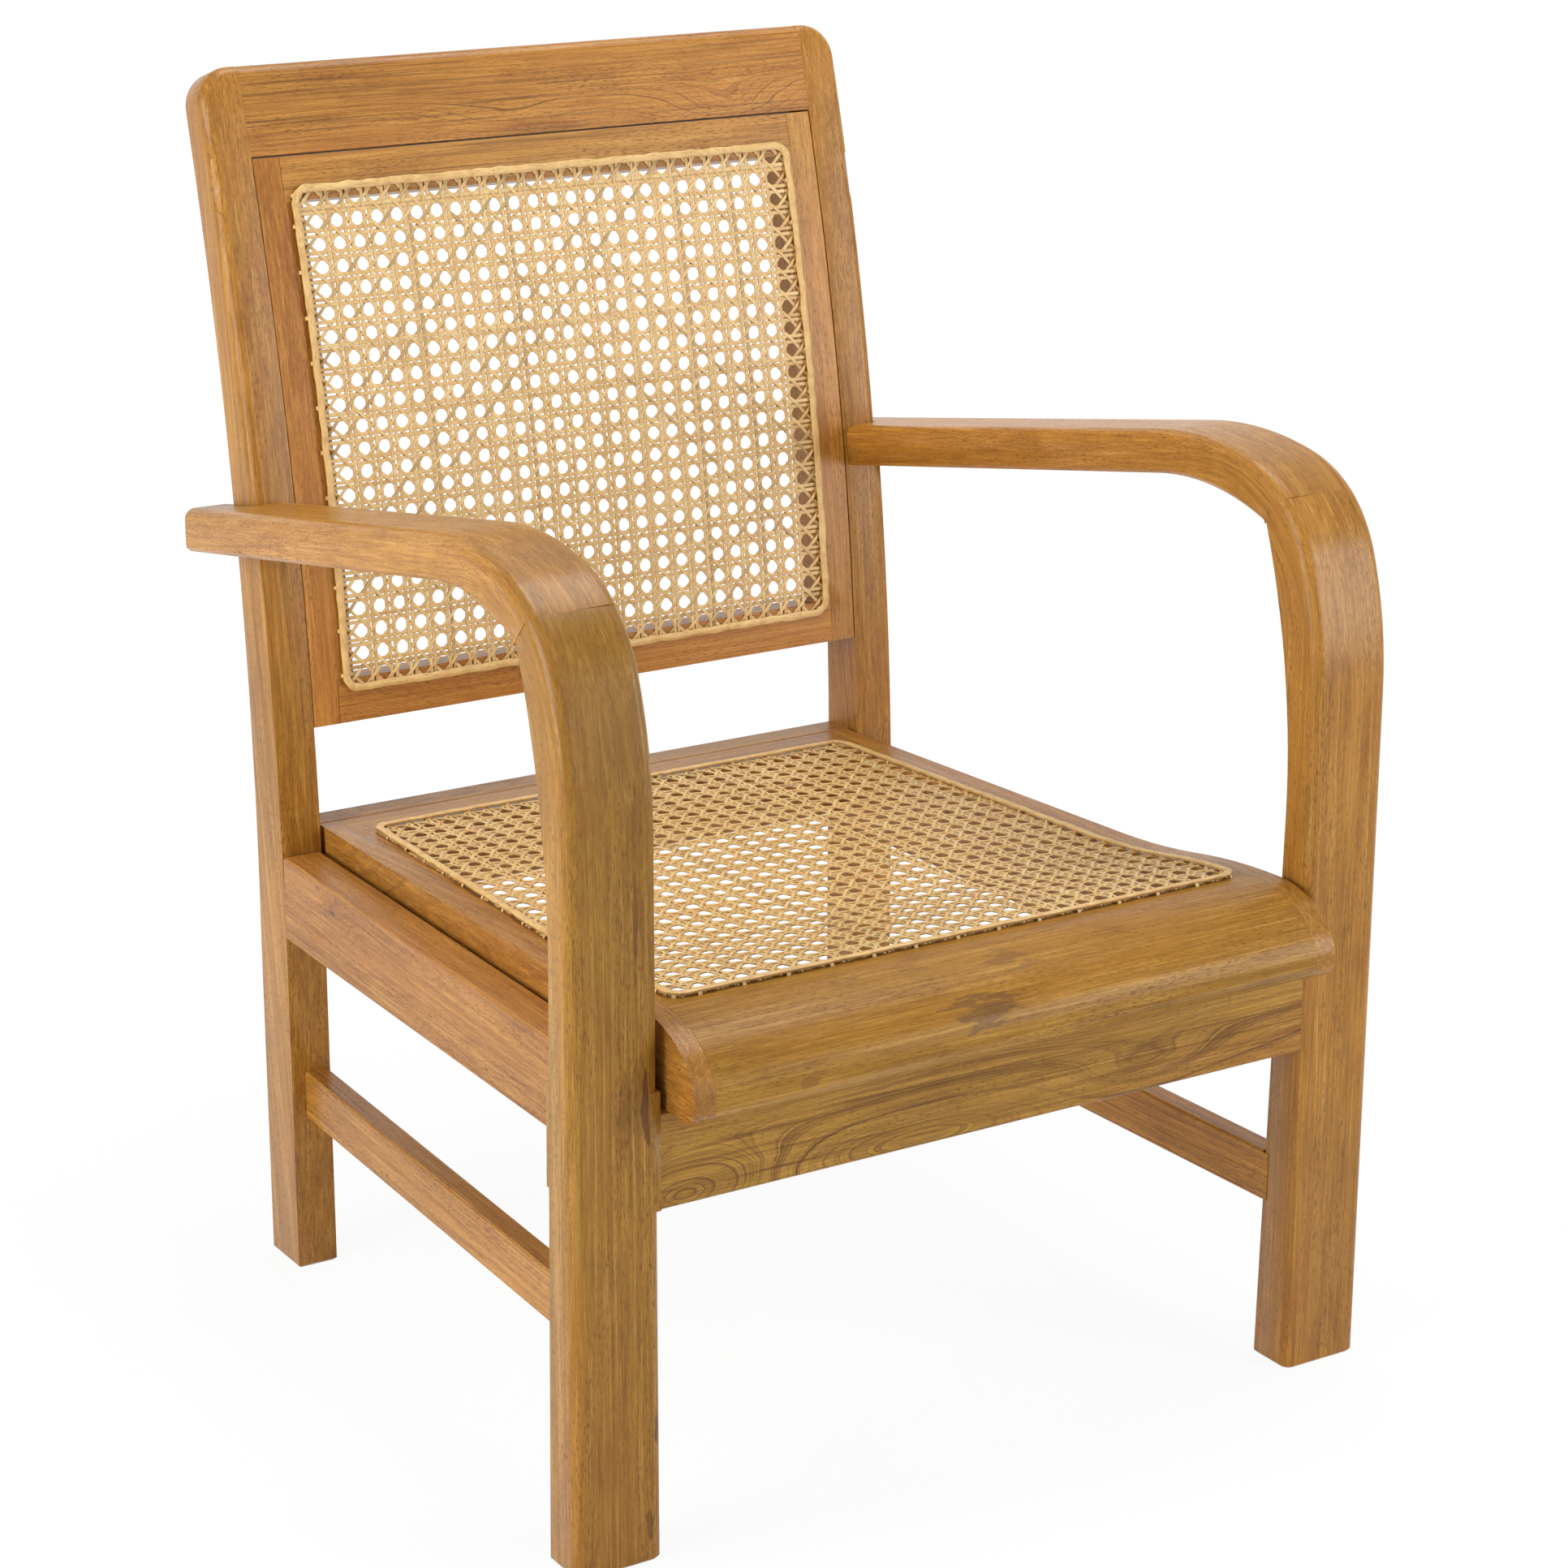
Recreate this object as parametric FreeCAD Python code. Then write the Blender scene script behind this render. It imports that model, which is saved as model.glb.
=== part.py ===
"""Planters chair: a low armchair of hardwood with a caned back panel and a lift-off caned seat.

Millimetres. +X is the right-hand side seen from the front, +Y points to the back, +Z is up.
While the pieces are made, Y is zero at the front faces of the front legs. At the end they are
all moved so that the origin lies on the floor under the middle of the chair's bounding box.
"""
import FreeCAD
import Part
import math
import os

# Front legs, which stand further out than the rear posts
LEG_STAND_OUT = 53.3
LEG_WIDTH = 62.5
LEG_FOOT_DEPTH = 38.5
LEG_WAIST_DEPTH = 28.5
LEG_WAIST_HEIGHT = 400.0

# Bend between leg and arm, and the arm behind it
ARM_SLOPE = 0.177
ARM_BEND_LENGTH = 209.0
ARM_BEND_RISE = 37.6
OUTER_BEND_RADII = (273.6, 88.9, 258.6)
ARM_KNEE_DEPTH = 61.0
ARM_KNEE_HEIGHT = 595.0
ARM_UNDERSIDE_BEND_LENGTH = 175.0
ARM_THICKNESS = 30.3
ARM_TAIL = 81.0
ARM_TAIL_CORNER = 11.0
# How the whole turn from leg to arm is shared by the three arcs of the outer bend
OUTER_BEND_TURN_SHARES = (0.198, 0.574, 0.228)
MITRE_SLOPE = 1.14

# Rear posts
POST_OUTER_X = 260.7
POST_WIDTH = 30.7
POST_FRONT_Y = 517.0
POST_FOOT_DEPTH = 44.0
POST_TOP_DEPTH = 28.0
BACK_HEIGHT = 870.0
BACK_BEND_HEIGHT = 244.0
BACK_RADIUS = 2130.0
POST_TOP_CORNER = 25.0

# Rails between the posts
CREST_HEIGHT = 62.0
REAR_RAIL_THICKNESS = 25.3
REAR_RAIL_DROP = 37.7
REAR_RAIL_HEIGHT = 68.0

# Side members, which run outwards towards the front
SIDE_SPLAY = 0.0394
APRON_THICKNESS = 30.0
APRON_HEIGHT = 62.3
APRON_DROP = 46.0
APRON_RISE = 0.015
STRETCHER_WIDTH = 18.0
STRETCHER_HEIGHT = 37.0
STRETCHER_BASE = 117.3
STRETCHER_SET_IN = 10.8
FRONT_APRON_THICKNESS = 22.0
FRONT_APRON_HEIGHT = 65.0

# Back panel
PANEL_GAP = 0.6
PANEL_BASE = 411.0
PANEL_CREST_GAP = 1.2
PANEL_THICKNESS = 22.0
PANEL_JOINT_INSET = 20.5
PANEL_SIDE_SHOW = 21.5
PANEL_TOP_SHOW = 18.5
PANEL_BASE_SHOW = 19.7

# Seat frame
SEAT_BASE = 304.0
SEAT_REAR_THICKNESS = 32.5
SEAT_SLOPE = 0.0243
SEAT_SWELL_START = 190.0
SEAT_CREST_Y = 22.0
SEAT_CREST_THICKNESS = 55.8
SEAT_OVERHANG = 36.0
SEAT_NOSE_ROUND = 14.0
SEAT_REAR_Y = 529.0
SEAT_SIDE_GAP = 3.5
SEAT_JOINT_INSET = 15.5
SEAT_REAR_SHOW = 29.0
SEAT_FRONT_SHOW = 69.0
SEAT_REAR_SIDE_SHOW = 24.7
SEAT_FRONT_SIDE_SHOW = 20.0
# Handles of the swell behind the crest and of the nose before it, along their own spans
SWELL_SHARES = (0.42, 0.68)
NOSE_SHARES = (0.52, 0.53)

# Cane and the binder that covers its edge
BINDER_WIDTH = 5.0
BINDER_THICKNESS = 1.2
CANE_THICKNESS = 1.3
OPENING_INSET = 12.0
OPENING_CORNER = 3.0
CANE_LIE_GAP = 0.15
CANE_SELVAGE = 2.0
# How many openings stand for the weave's holes, and their share of the way from one to the next
BACK_OPENING_COLUMNS = 9
BACK_OPENING_ROWS = 8
SEAT_OPENING_COLUMNS = 9
SEAT_OPENING_ROWS = 9
CANE_OPEN_SHARE = 0.58

# Bearers that carry the seat, and the pins that hold them to the aprons
BEARER_THICKNESS = 13.0
BEARER_HEIGHT = 42.0
REAR_BEARER_HEIGHT = 19.0
PIN_LENGTH = 30.0
PIN_RADIUS = 3.0
PIN_SHARES = (0.2, 0.8)

# Joinery
TENON_THICKNESS = 10.0
TENON_LENGTH = 16.0
STRETCHER_TENON_THICKNESS = 8.0
TENON_SHOULDER = 8.0
FRONT_TENON_LENGTH = 20.0
FRONT_TENON_THICKNESS = 8.0
MITRE_TONGUE_THICKNESS = 9.0
MITRE_TONGUE_WIDTH = 36.0
MITRE_TONGUE_LENGTH = 34.0
ARM_TONGUE_THICKNESS = 8.0
ARM_TONGUE_WIDTH = 22.0
ARM_TONGUE_LENGTH = 30.0
PANEL_TONGUE_THICKNESS = 6.0
PANEL_TONGUE_WIDTH = 28.0
PANEL_TONGUE_LENGTH = 24.0
PANEL_TONGUE_SHARES = (0.15, 0.85)
FRAME_TENON_THICKNESS = 6.0
FRAME_TENON_LENGTH = 12.0
FRAME_TENON_WIDTH = 15.0
SEAT_TENON_LENGTH = 10.0
SEAT_TENON_WIDTH = 40.0
JOINT_GAP = 0.1

# Rounded edges
LEG_ROUND = 8.0
UNDERSIDE_CHAMFER = 3.0
POST_ROUND = 7.0
CREST_ROUND = 8.0
ARRIS = 1.6
FOOT_CHAMFER = 2.0

# How far cuts run past the wood, and how close arcs come to a curve that they stand for
OVERRUN = 40.0
CURVE_TOLERANCE = 1.0

POST_INNER_X = POST_OUTER_X - POST_WIDTH
LEG_OUTER_X = POST_OUTER_X + LEG_STAND_OUT
ARM_BEND_TOP = ARM_KNEE_HEIGHT + ARM_BEND_RISE
REAR_RAIL_BASE = SEAT_BASE - REAR_RAIL_DROP
APRON_REAR_BASE = SEAT_BASE - APRON_DROP
FRONT_APRON_BASE = SEAT_BASE - FRONT_APRON_HEIGHT
SEAT_REAR_TOP = SEAT_BASE + SEAT_REAR_THICKNESS
SEAT_CREST_HEIGHT = SEAT_BASE + SEAT_CREST_THICKNESS
SEAT_NOSE_HEIGHT = SEAT_BASE + SEAT_NOSE_ROUND
LEG_INNER_X = LEG_OUTER_X - LEG_WIDTH
BINDER_CORNER = OPENING_INSET + OPENING_CORNER
CANE_MARGIN = OPENING_INSET + CANE_SELVAGE
ARC_CENTRE_Y = POST_FRONT_Y + BACK_RADIUS
MAKING_HEIGHT = BACK_HEIGHT + OVERRUN
MAKING_HALF_WIDTH = LEG_OUTER_X + OVERRUN
MAKING_REAR_Y = POST_FRONT_Y + POST_FOOT_DEPTH + OVERRUN + BACK_HEIGHT
X_AXIS = FreeCAD.Vector(1, 0, 0)
Y_AXIS = FreeCAD.Vector(0, 1, 0)
Z_AXIS = FreeCAD.Vector(0, 0, 1)


def side_point(y, z, x=0.0):
    """A point of a side view outline."""
    return FreeCAD.Vector(x, y, z)


def line(start, end):
    return Part.LineSegment(start, end).toShape()


def arc(start, middle, end):
    return Part.Arc(start, middle, end).toShape()


def curve(start, first_handle, second_handle, end):
    """Tangent arcs close to a cubic curve, which leaves along its first handle."""
    bezier = Part.BezierCurve()
    bezier.setPoles([start, first_handle, second_handle, end])
    return [piece.toShape() for piece in bezier.toBSpline().toBiArcs(CURVE_TOLERANCE)]


def tangent_arc(start, direction, end):
    """The arc that leaves a point along a direction and ends at another point."""
    chord = end - start
    turn = direction.getAngle(chord)
    side = direction * (chord.Length / direction.Length) - chord * math.cos(turn)
    bulge = chord.Length / 2 * math.tan(turn / 2)
    return arc(start, (start + end) / 2 + side.normalize() * bulge, end)


def polygon(points):
    return Part.makePolygon(points + [points[0]])


def prism(edges, direction):
    """The solid swept by a closed outline along a direction."""
    wire = edges if isinstance(edges, Part.Wire) else Part.Wire(edges)
    return Part.Face(wire).extrude(direction)


def across(edges, x_low, x_high):
    """A side view outline, drawn at X zero, made solid from one X to another."""
    solid = prism(edges, X_AXIS * (x_high - x_low))
    solid.translate(X_AXIS * x_low)
    return solid


def plan_block(corners, z_low=-OVERRUN, z_high=MAKING_HEIGHT):
    """A plan outline of (x, y) corners made solid between two heights."""
    points = [FreeCAD.Vector(x, y, z_low) for x, y in corners]
    return prism(polygon(points), Z_AXIS * (z_high - z_low))


def block(x_low, x_high, y_low, y_high, z_low, z_high):
    corners = [(x_low, y_low), (x_high, y_low), (x_high, y_high), (x_low, y_high)]
    return plan_block(corners, z_low, z_high)


def rounded_block(corners, radius, z_low=-OVERRUN, z_high=MAKING_HEIGHT):
    """A plan outline made solid, with its upright corners rounded."""
    solid = plan_block(corners, z_low, z_high)
    upright = [e for e in solid.Edges if abs(e.tangentAt(e.FirstParameter).z) > 0.99]
    return solid.makeFillet(radius, upright)


def rod(start, direction, length, radius):
    return Part.makeCylinder(radius, length, start, direction)


def mirrored(shape):
    return shape.mirror(FreeCAD.Vector(0, 0, 0), X_AXIS)


def softened(solid, radius, wanted):
    """The solid with a radius on each edge whose middle point the test wants."""
    edges = [e for e in solid.Edges if wanted(middle_of(e), e)]
    return solid.makeFillet(radius, edges)


def chamfered(solid, size, wanted):
    """The solid with a narrow flat on each edge whose middle point the test wants."""
    edges = [e for e in solid.Edges if wanted(middle_of(e), e)]
    return solid.makeChamfer(size, edges)


def middle_of(edge):
    return edge.valueAt((edge.FirstParameter + edge.LastParameter) / 2)


def near(value, target):
    return abs(value - target) < JOINT_GAP / 2


def runs_along(edge, axis):
    """Whether an edge runs mostly along an axis."""
    start = edge.valueAt(edge.FirstParameter)
    end = edge.valueAt(edge.LastParameter)
    span = end - start
    return span.Length > 0 and abs(span.dot(axis)) / span.Length > 0.8


def foot_edges(solid):
    return [e for e in solid.Edges if near(middle_of(e).z, 0)]


def combined(solids):
    return Part.makeCompound(solids)


# The curve of the back


def lean_angle(height):
    """The angle at which the back's front face reaches a height."""
    return math.asin((height - BACK_BEND_HEIGHT) / BACK_RADIUS)


def back_point(angle, depth):
    """A point a depth behind the back's curved front face."""
    radius = BACK_RADIUS - depth
    y = ARC_CENTRE_Y - radius * math.cos(angle)
    return side_point(y, BACK_BEND_HEIGHT + radius * math.sin(angle))


def back_front_y(height):
    return back_point(lean_angle(height), 0).y


def post_depth(height):
    """The depth of a rear post, which thins towards the top."""
    share = max(0.0, height - BACK_BEND_HEIGHT) / (BACK_HEIGHT - BACK_BEND_HEIGHT)
    return POST_FOOT_DEPTH + (POST_TOP_DEPTH - POST_FOOT_DEPTH) * share


def band(height_low, height_high, depth_front, depth_rear, x_low, x_high):
    """A curved slab of the back between two heights, two depths and two widths."""
    low = lean_angle(height_low)
    high = lean_angle(height_high)
    middle = (low + high) / 2
    outline = [
        arc(back_point(low, depth_front), back_point(middle, depth_front), back_point(high, depth_front)),
        line(back_point(high, depth_front), back_point(high, depth_rear)),
        arc(back_point(high, depth_rear), back_point(middle, depth_rear), back_point(low, depth_rear)),
        line(back_point(low, depth_rear), back_point(low, depth_front)),
    ]
    return across(outline, x_low, x_high)


def post_outline():
    foot_front = side_point(POST_FRONT_Y, 0)
    bend_front = side_point(POST_FRONT_Y, BACK_BEND_HEIGHT)
    foot_rear = side_point(POST_FRONT_Y + POST_FOOT_DEPTH, 0)
    bend_rear = side_point(POST_FRONT_Y + POST_FOOT_DEPTH, BACK_BEND_HEIGHT)
    top = lean_angle(BACK_HEIGHT)
    half = top / 2
    mean_depth = (POST_FOOT_DEPTH + POST_TOP_DEPTH) / 2
    return [
        line(foot_front, bend_front),
        arc(bend_front, back_point(half, 0), back_point(top, 0)),
        line(back_point(top, 0), back_point(top, POST_TOP_DEPTH)),
        arc(back_point(top, POST_TOP_DEPTH), back_point(half, mean_depth), bend_rear),
        line(bend_rear, foot_rear),
        line(foot_rear, foot_front),
    ]


# Splayed side members


def splayed(x_at_post, y):
    """The X, at some Y, of a line that runs along the chair's side."""
    return x_at_post + SIDE_SPLAY * (POST_FRONT_Y - y)


def side_bar(outer_at_post, thickness, base, height, rise=0.0):
    """A bar along the right side, from the post to inside the front leg."""
    reach = POST_FRONT_Y
    corners = [
        FreeCAD.Vector(outer_at_post - thickness, POST_FRONT_Y, base),
        FreeCAD.Vector(outer_at_post, POST_FRONT_Y, base),
        FreeCAD.Vector(outer_at_post, POST_FRONT_Y, base + height),
        FreeCAD.Vector(outer_at_post - thickness, POST_FRONT_Y, base + height),
    ]
    return prism(polygon(corners), FreeCAD.Vector(SIDE_SPLAY * reach, -reach, rise * reach))


def side_tenon(centre_x, thickness, z_low, z_high, y_low, y_high):
    half = thickness / 2
    return block(centre_x - half, centre_x + half, y_low, y_high, z_low, z_high)


def grown(solid):
    """The hole for a tenon or a piece: its own shape with the joint gap all round."""
    box = solid.BoundBox
    return block(
        box.XMin - JOINT_GAP, box.XMax + JOINT_GAP,
        box.YMin - JOINT_GAP, box.YMax + JOINT_GAP,
        box.ZMin - JOINT_GAP, box.ZMax + JOINT_GAP,
    )


# Leg and arm, drawn as one outline and parted at the mitre


def knee():
    return side_point(ARM_KNEE_DEPTH, ARM_KNEE_HEIGHT)


def mitre_direction():
    """The direction of the mitre in the side view, from the knee outwards."""
    direction = FreeCAD.Vector(0, -1, MITRE_SLOPE)
    return direction.normalize()


def arm_top_height(y):
    return ARM_BEND_TOP - ARM_SLOPE * (y - ARM_BEND_LENGTH)


def arm_underside_height(y):
    return arm_top_height(y) - ARM_THICKNESS * math.hypot(1, ARM_SLOPE)


def arm_rear_y():
    return POST_FRONT_Y + ARM_TAIL


def bend_offset(angle):
    """From an arc's centre to the arc, where it has turned by an angle from upright."""
    return side_point(-math.cos(angle), math.sin(angle))


def outer_bend():
    """Tangent arcs from the leg's front to the arm's top, as rows of three points."""
    whole_turn = math.pi / 2 + math.atan(ARM_SLOPE)
    rows = []
    point = side_point(0, 0)
    angle = 0.0
    for radius, share in zip(OUTER_BEND_RADII, OUTER_BEND_TURN_SHARES):
        turn = whole_turn * share
        centre = point - bend_offset(angle) * radius
        middle = centre + bend_offset(angle + turn / 2) * radius
        end = centre + bend_offset(angle + turn) * radius
        rows.append([point, middle, end])
        point = end
        angle += turn
    lift = Z_AXIS * (arm_top_height(point.y) - point.z)
    return [[place + lift for place in row] for row in rows]


def leg_and_arm_outline():
    rear = arm_rear_y()
    rear_top = side_point(rear, arm_top_height(rear))
    rear_low = side_point(rear, arm_underside_height(rear))
    bend = outer_bend()
    bend_foot = bend[0][0]
    bend_top = bend[-1][-1]
    underside_end = side_point(ARM_UNDERSIDE_BEND_LENGTH, arm_underside_height(ARM_UNDERSIDE_BEND_LENGTH))
    foot_rear = side_point(LEG_FOOT_DEPTH, 0)
    waist = side_point(LEG_WAIST_DEPTH, LEG_WAIST_HEIGHT)
    return [
        line(side_point(0, 0), bend_foot),
        *[arc(*row) for row in bend],
        line(bend_top, rear_top),
        line(rear_top, rear_low),
        line(rear_low, underside_end),
        tangent_arc(underside_end, side_point(-1, ARM_SLOPE), knee()),
        tangent_arc(waist, waist - foot_rear, knee()),
        line(waist, foot_rear),
        line(foot_rear, side_point(0, 0)),
    ]


def arm_region():
    """Everything behind and above the mitre."""
    direction = mitre_direction()
    inner = knee() - direction * OVERRUN
    outer = knee() + direction * (ARM_KNEE_HEIGHT / 2)
    far_high = side_point(MAKING_REAR_Y, outer.z)
    far_low = side_point(MAKING_REAR_Y, 0)
    near_low = side_point(inner.y, 0)
    return across(polygon([inner, outer, far_high, far_low, near_low]), 0, MAKING_HALF_WIDTH)


def turned(solid):
    """The solid turned in plan about the middle of the knee, to run along the splayed side."""
    centre = FreeCAD.Vector(leg_centre_x(), ARM_KNEE_DEPTH, 0)
    solid = solid.copy()
    solid.rotate(centre, Z_AXIS, math.degrees(math.atan(SIDE_SPLAY)))
    return solid


def raw_leg():
    whole = across(leg_and_arm_outline(), LEG_INNER_X, LEG_OUTER_X)
    return whole.cut(arm_region())


def front_leg():
    """The leg with rounded edges that stop where the aprons meet it."""
    raw = raw_leg()
    knee_y = ARM_KNEE_DEPTH

    def front_edge(point, edge):
        along = runs_along(edge, Z_AXIS) and not near(point.z, 0)
        return along and point.y < knee_y / 2 and point.y < leg_middle_y(point.z)

    def rear_edge(point, edge):
        return runs_along(edge, Z_AXIS) and point.y > leg_middle_y(point.z)

    leg = softened(raw, LEG_ROUND, front_edge)
    leg = chamfered(leg, UNDERSIDE_CHAMFER, rear_edge)
    inner_low = FRONT_APRON_BASE
    sharp_front = block(0, leg_centre_x(), -OVERRUN, LEG_FOOT_DEPTH / 2, inner_low, SEAT_NOSE_HEIGHT)
    rear_top = APRON_REAR_BASE + APRON_HEIGHT + APRON_RISE * POST_FRONT_Y
    sharp_rear = block(0, LEG_OUTER_X, LEG_FOOT_DEPTH / 2, OVERRUN, APRON_REAR_BASE, rear_top)
    leg = leg.fuse([raw.common(sharp_front), raw.common(sharp_rear)]).removeSplitter()
    leg = leg.makeChamfer(FOOT_CHAMFER, foot_edges(leg))
    leg = leg.cut(combined([grown(side_apron_front_tenon()), grown(stretcher_front_tenon())]))
    leg = leg.cut(grown(front_apron_tenon()))
    return leg.cut(mitre_tongue(JOINT_GAP))


def leg_middle_y(height):
    """The middle of the leg's depth at a height, which moves back in the bend."""
    share = max(0.0, height - LEG_WAIST_HEIGHT) / (ARM_KNEE_HEIGHT - LEG_WAIST_HEIGHT)
    return LEG_WAIST_DEPTH / 2 + share * ARM_KNEE_DEPTH / 2


def leg_centre_x():
    return (LEG_INNER_X + LEG_OUTER_X) / 2


def front_arm():
    """The arm, notched round the rear post that it runs past."""
    arm = across(leg_and_arm_outline(), LEG_INNER_X, LEG_OUTER_X)
    bend_foot = outer_bend()[0][0]

    def tail_edge(point, edge):
        return near(point.y, arm_rear_y()) and runs_along(edge, Z_AXIS)

    def upper(point):
        return point.z > bend_foot.z and point.z > arm_underside_height(point.y) + ARM_THICKNESS / 2

    def top_edge(point, edge):
        return upper(point) and (not runs_along(edge, X_AXIS) or near(point.y, arm_rear_y()))

    def low_edge(point, edge):
        behind = point.y > ARM_KNEE_DEPTH
        return behind and not runs_along(edge, X_AXIS) and not upper(point)

    arm = softened(arm, ARM_TAIL_CORNER, tail_edge)
    arm = softened(arm, LEG_ROUND, top_edge)
    arm = chamfered(arm, UNDERSIDE_CHAMFER, low_edge)
    arm = turned(arm).common(arm_region())
    behind_post = band(PANEL_BASE, BACK_HEIGHT, 0, POST_FOOT_DEPTH + ARM_TAIL, 0, POST_OUTER_X)
    return arm.cut(behind_post).cut(combined([mitre_tongue(JOINT_GAP), arm_tongue(JOINT_GAP)]))


def mitre_tongue(gap=0.0):
    """A loose tongue across the mitre, square to it."""
    direction = mitre_direction()
    along = FreeCAD.Vector(0, direction.z, -direction.y)
    centre = knee() + direction * (ARM_THICKNESS / 2)
    reach = along * (MITRE_TONGUE_LENGTH / 2 + gap)
    rise = direction * (MITRE_TONGUE_THICKNESS / 2 + gap)
    corners = [
        centre - reach - rise, centre + reach - rise, centre + reach + rise, centre - reach + rise,
    ]
    half = MITRE_TONGUE_WIDTH / 2 + gap
    return across(polygon(corners), leg_centre_x() - half, leg_centre_x() + half)


def arm_tongue(gap=0.0):
    """A loose tongue from the arm's tail into the post beside it."""
    height = arm_top_height(POST_FRONT_Y + POST_FOOT_DEPTH) - ARM_THICKNESS / 2
    middle_y = back_front_y(height) + post_depth(height) / 2
    reach = ARM_TONGUE_LENGTH / 2 + gap
    half_width = ARM_TONGUE_WIDTH / 2 + gap
    half = ARM_TONGUE_THICKNESS / 2 + gap
    return block(
        POST_OUTER_X - reach, POST_OUTER_X + reach,
        middle_y - half_width, middle_y + half_width, height - half, height + half,
    )


# Rails and aprons with their tenons


def crest_tenon():
    low = BACK_HEIGHT - CREST_HEIGHT + TENON_SHOULDER
    high = BACK_HEIGHT - TENON_SHOULDER * 2
    middle_y = back_front_y((low + high) / 2) + POST_TOP_DEPTH / 2
    half = TENON_THICKNESS / 2
    return block(POST_INNER_X, POST_INNER_X + TENON_LENGTH, middle_y - half, middle_y + half, low, high)


def crest_rail():
    low = BACK_HEIGHT - CREST_HEIGHT
    half_width = POST_INNER_X
    rail = across(post_outline(), -half_width, half_width)
    rail = rail.common(band(low, BACK_HEIGHT, -OVERRUN, POST_FOOT_DEPTH, -half_width, half_width))
    top = back_point(lean_angle(BACK_HEIGHT), 0).z - POST_TOP_DEPTH / 2

    def upper_edge(point, edge):
        return runs_along(edge, X_AXIS) and point.z > top

    rail = softened(rail, CREST_ROUND, upper_edge)
    tenon = crest_tenon()
    return rail.fuse([tenon, mirrored(tenon)]).removeSplitter()


def rear_rail_tenon():
    middle_y = POST_FRONT_Y + POST_FOOT_DEPTH - REAR_RAIL_THICKNESS / 2
    half = TENON_THICKNESS / 2
    low = REAR_RAIL_BASE + TENON_SHOULDER
    high = REAR_RAIL_BASE + REAR_RAIL_HEIGHT - TENON_SHOULDER
    return block(POST_INNER_X, POST_INNER_X + TENON_LENGTH, middle_y - half, middle_y + half, low, high)


def rear_seat_rail():
    rear = POST_FRONT_Y + POST_FOOT_DEPTH
    front = rear - REAR_RAIL_THICKNESS
    top = REAR_RAIL_BASE + REAR_RAIL_HEIGHT
    rail = block(-POST_INNER_X, POST_INNER_X, front, rear, REAR_RAIL_BASE, top)
    rail = chamfered(rail, ARRIS, lambda point, edge: runs_along(edge, X_AXIS))
    tenon = rear_rail_tenon()
    return rail.fuse([tenon, mirrored(tenon)]).removeSplitter()


def side_apron_rear_tenon():
    centre = POST_OUTER_X - APRON_THICKNESS / 2
    low = APRON_REAR_BASE + TENON_SHOULDER
    high = APRON_REAR_BASE + APRON_HEIGHT - TENON_SHOULDER
    return side_tenon(centre, TENON_THICKNESS, low, high, POST_FRONT_Y, POST_FRONT_Y + TENON_LENGTH)


def side_apron_front_tenon():
    """The tenon into the leg, which starts inside the apron because the leg's back slopes."""
    centre = splayed(POST_OUTER_X - APRON_THICKNESS / 2, LEG_FOOT_DEPTH)
    low = APRON_REAR_BASE + APRON_RISE * POST_FRONT_Y + TENON_SHOULDER
    high = low + APRON_HEIGHT - 2 * TENON_SHOULDER
    deep = FRONT_APRON_THICKNESS - JOINT_GAP * 2 - TENON_SHOULDER / 2
    return side_tenon(centre, TENON_THICKNESS, low, high, deep, LEG_FOOT_DEPTH)


def side_apron():
    apron = side_bar(POST_OUTER_X, APRON_THICKNESS, APRON_REAR_BASE, APRON_HEIGHT, APRON_RISE)
    apron = chamfered(apron, ARRIS, lambda point, edge: runs_along(edge, Y_AXIS))
    apron = apron.cut(raw_leg()).cut(front_waste())
    apron = apron.fuse([side_apron_rear_tenon(), side_apron_front_tenon()]).removeSplitter()
    return apron.cut(combined(bearer_pins(JOINT_GAP)))


def front_waste():
    """What a side bar still holds in front of the leg's back face, clear of the leg."""
    return block(0, MAKING_HALF_WIDTH, -OVERRUN, LEG_WAIST_DEPTH + JOINT_GAP, 0, MAKING_HEIGHT)


def stretcher_outer_x():
    return POST_OUTER_X - STRETCHER_SET_IN


def stretcher_rear_tenon():
    centre = stretcher_outer_x() - STRETCHER_WIDTH / 2
    low = STRETCHER_BASE + TENON_SHOULDER / 2
    high = STRETCHER_BASE + STRETCHER_HEIGHT - TENON_SHOULDER / 2
    rear = POST_FRONT_Y + TENON_LENGTH
    return side_tenon(centre, STRETCHER_TENON_THICKNESS, low, high, POST_FRONT_Y, rear)


def stretcher_front_tenon():
    centre = splayed(stretcher_outer_x() - STRETCHER_WIDTH / 2, LEG_FOOT_DEPTH)
    low = STRETCHER_BASE + TENON_SHOULDER / 2
    high = STRETCHER_BASE + STRETCHER_HEIGHT - TENON_SHOULDER / 2
    deep = LEG_FOOT_DEPTH - TENON_LENGTH
    return side_tenon(centre, STRETCHER_TENON_THICKNESS, low, high, deep, LEG_FOOT_DEPTH)


def side_stretcher():
    bar = side_bar(stretcher_outer_x(), STRETCHER_WIDTH, STRETCHER_BASE, STRETCHER_HEIGHT)
    bar = chamfered(bar, ARRIS, lambda point, edge: runs_along(edge, Y_AXIS))
    bar = bar.cut(raw_leg()).cut(front_waste())
    return bar.fuse([stretcher_rear_tenon(), stretcher_front_tenon()]).removeSplitter()


def front_apron_tenon():
    half = FRONT_TENON_THICKNESS / 2
    middle_y = FRONT_APRON_THICKNESS / 2 - TENON_SHOULDER / 4
    low = FRONT_APRON_BASE + TENON_SHOULDER
    high = SEAT_BASE - TENON_SHOULDER
    return block(LEG_INNER_X, LEG_INNER_X + FRONT_TENON_LENGTH, middle_y - half, middle_y + half, low, high)


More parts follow.
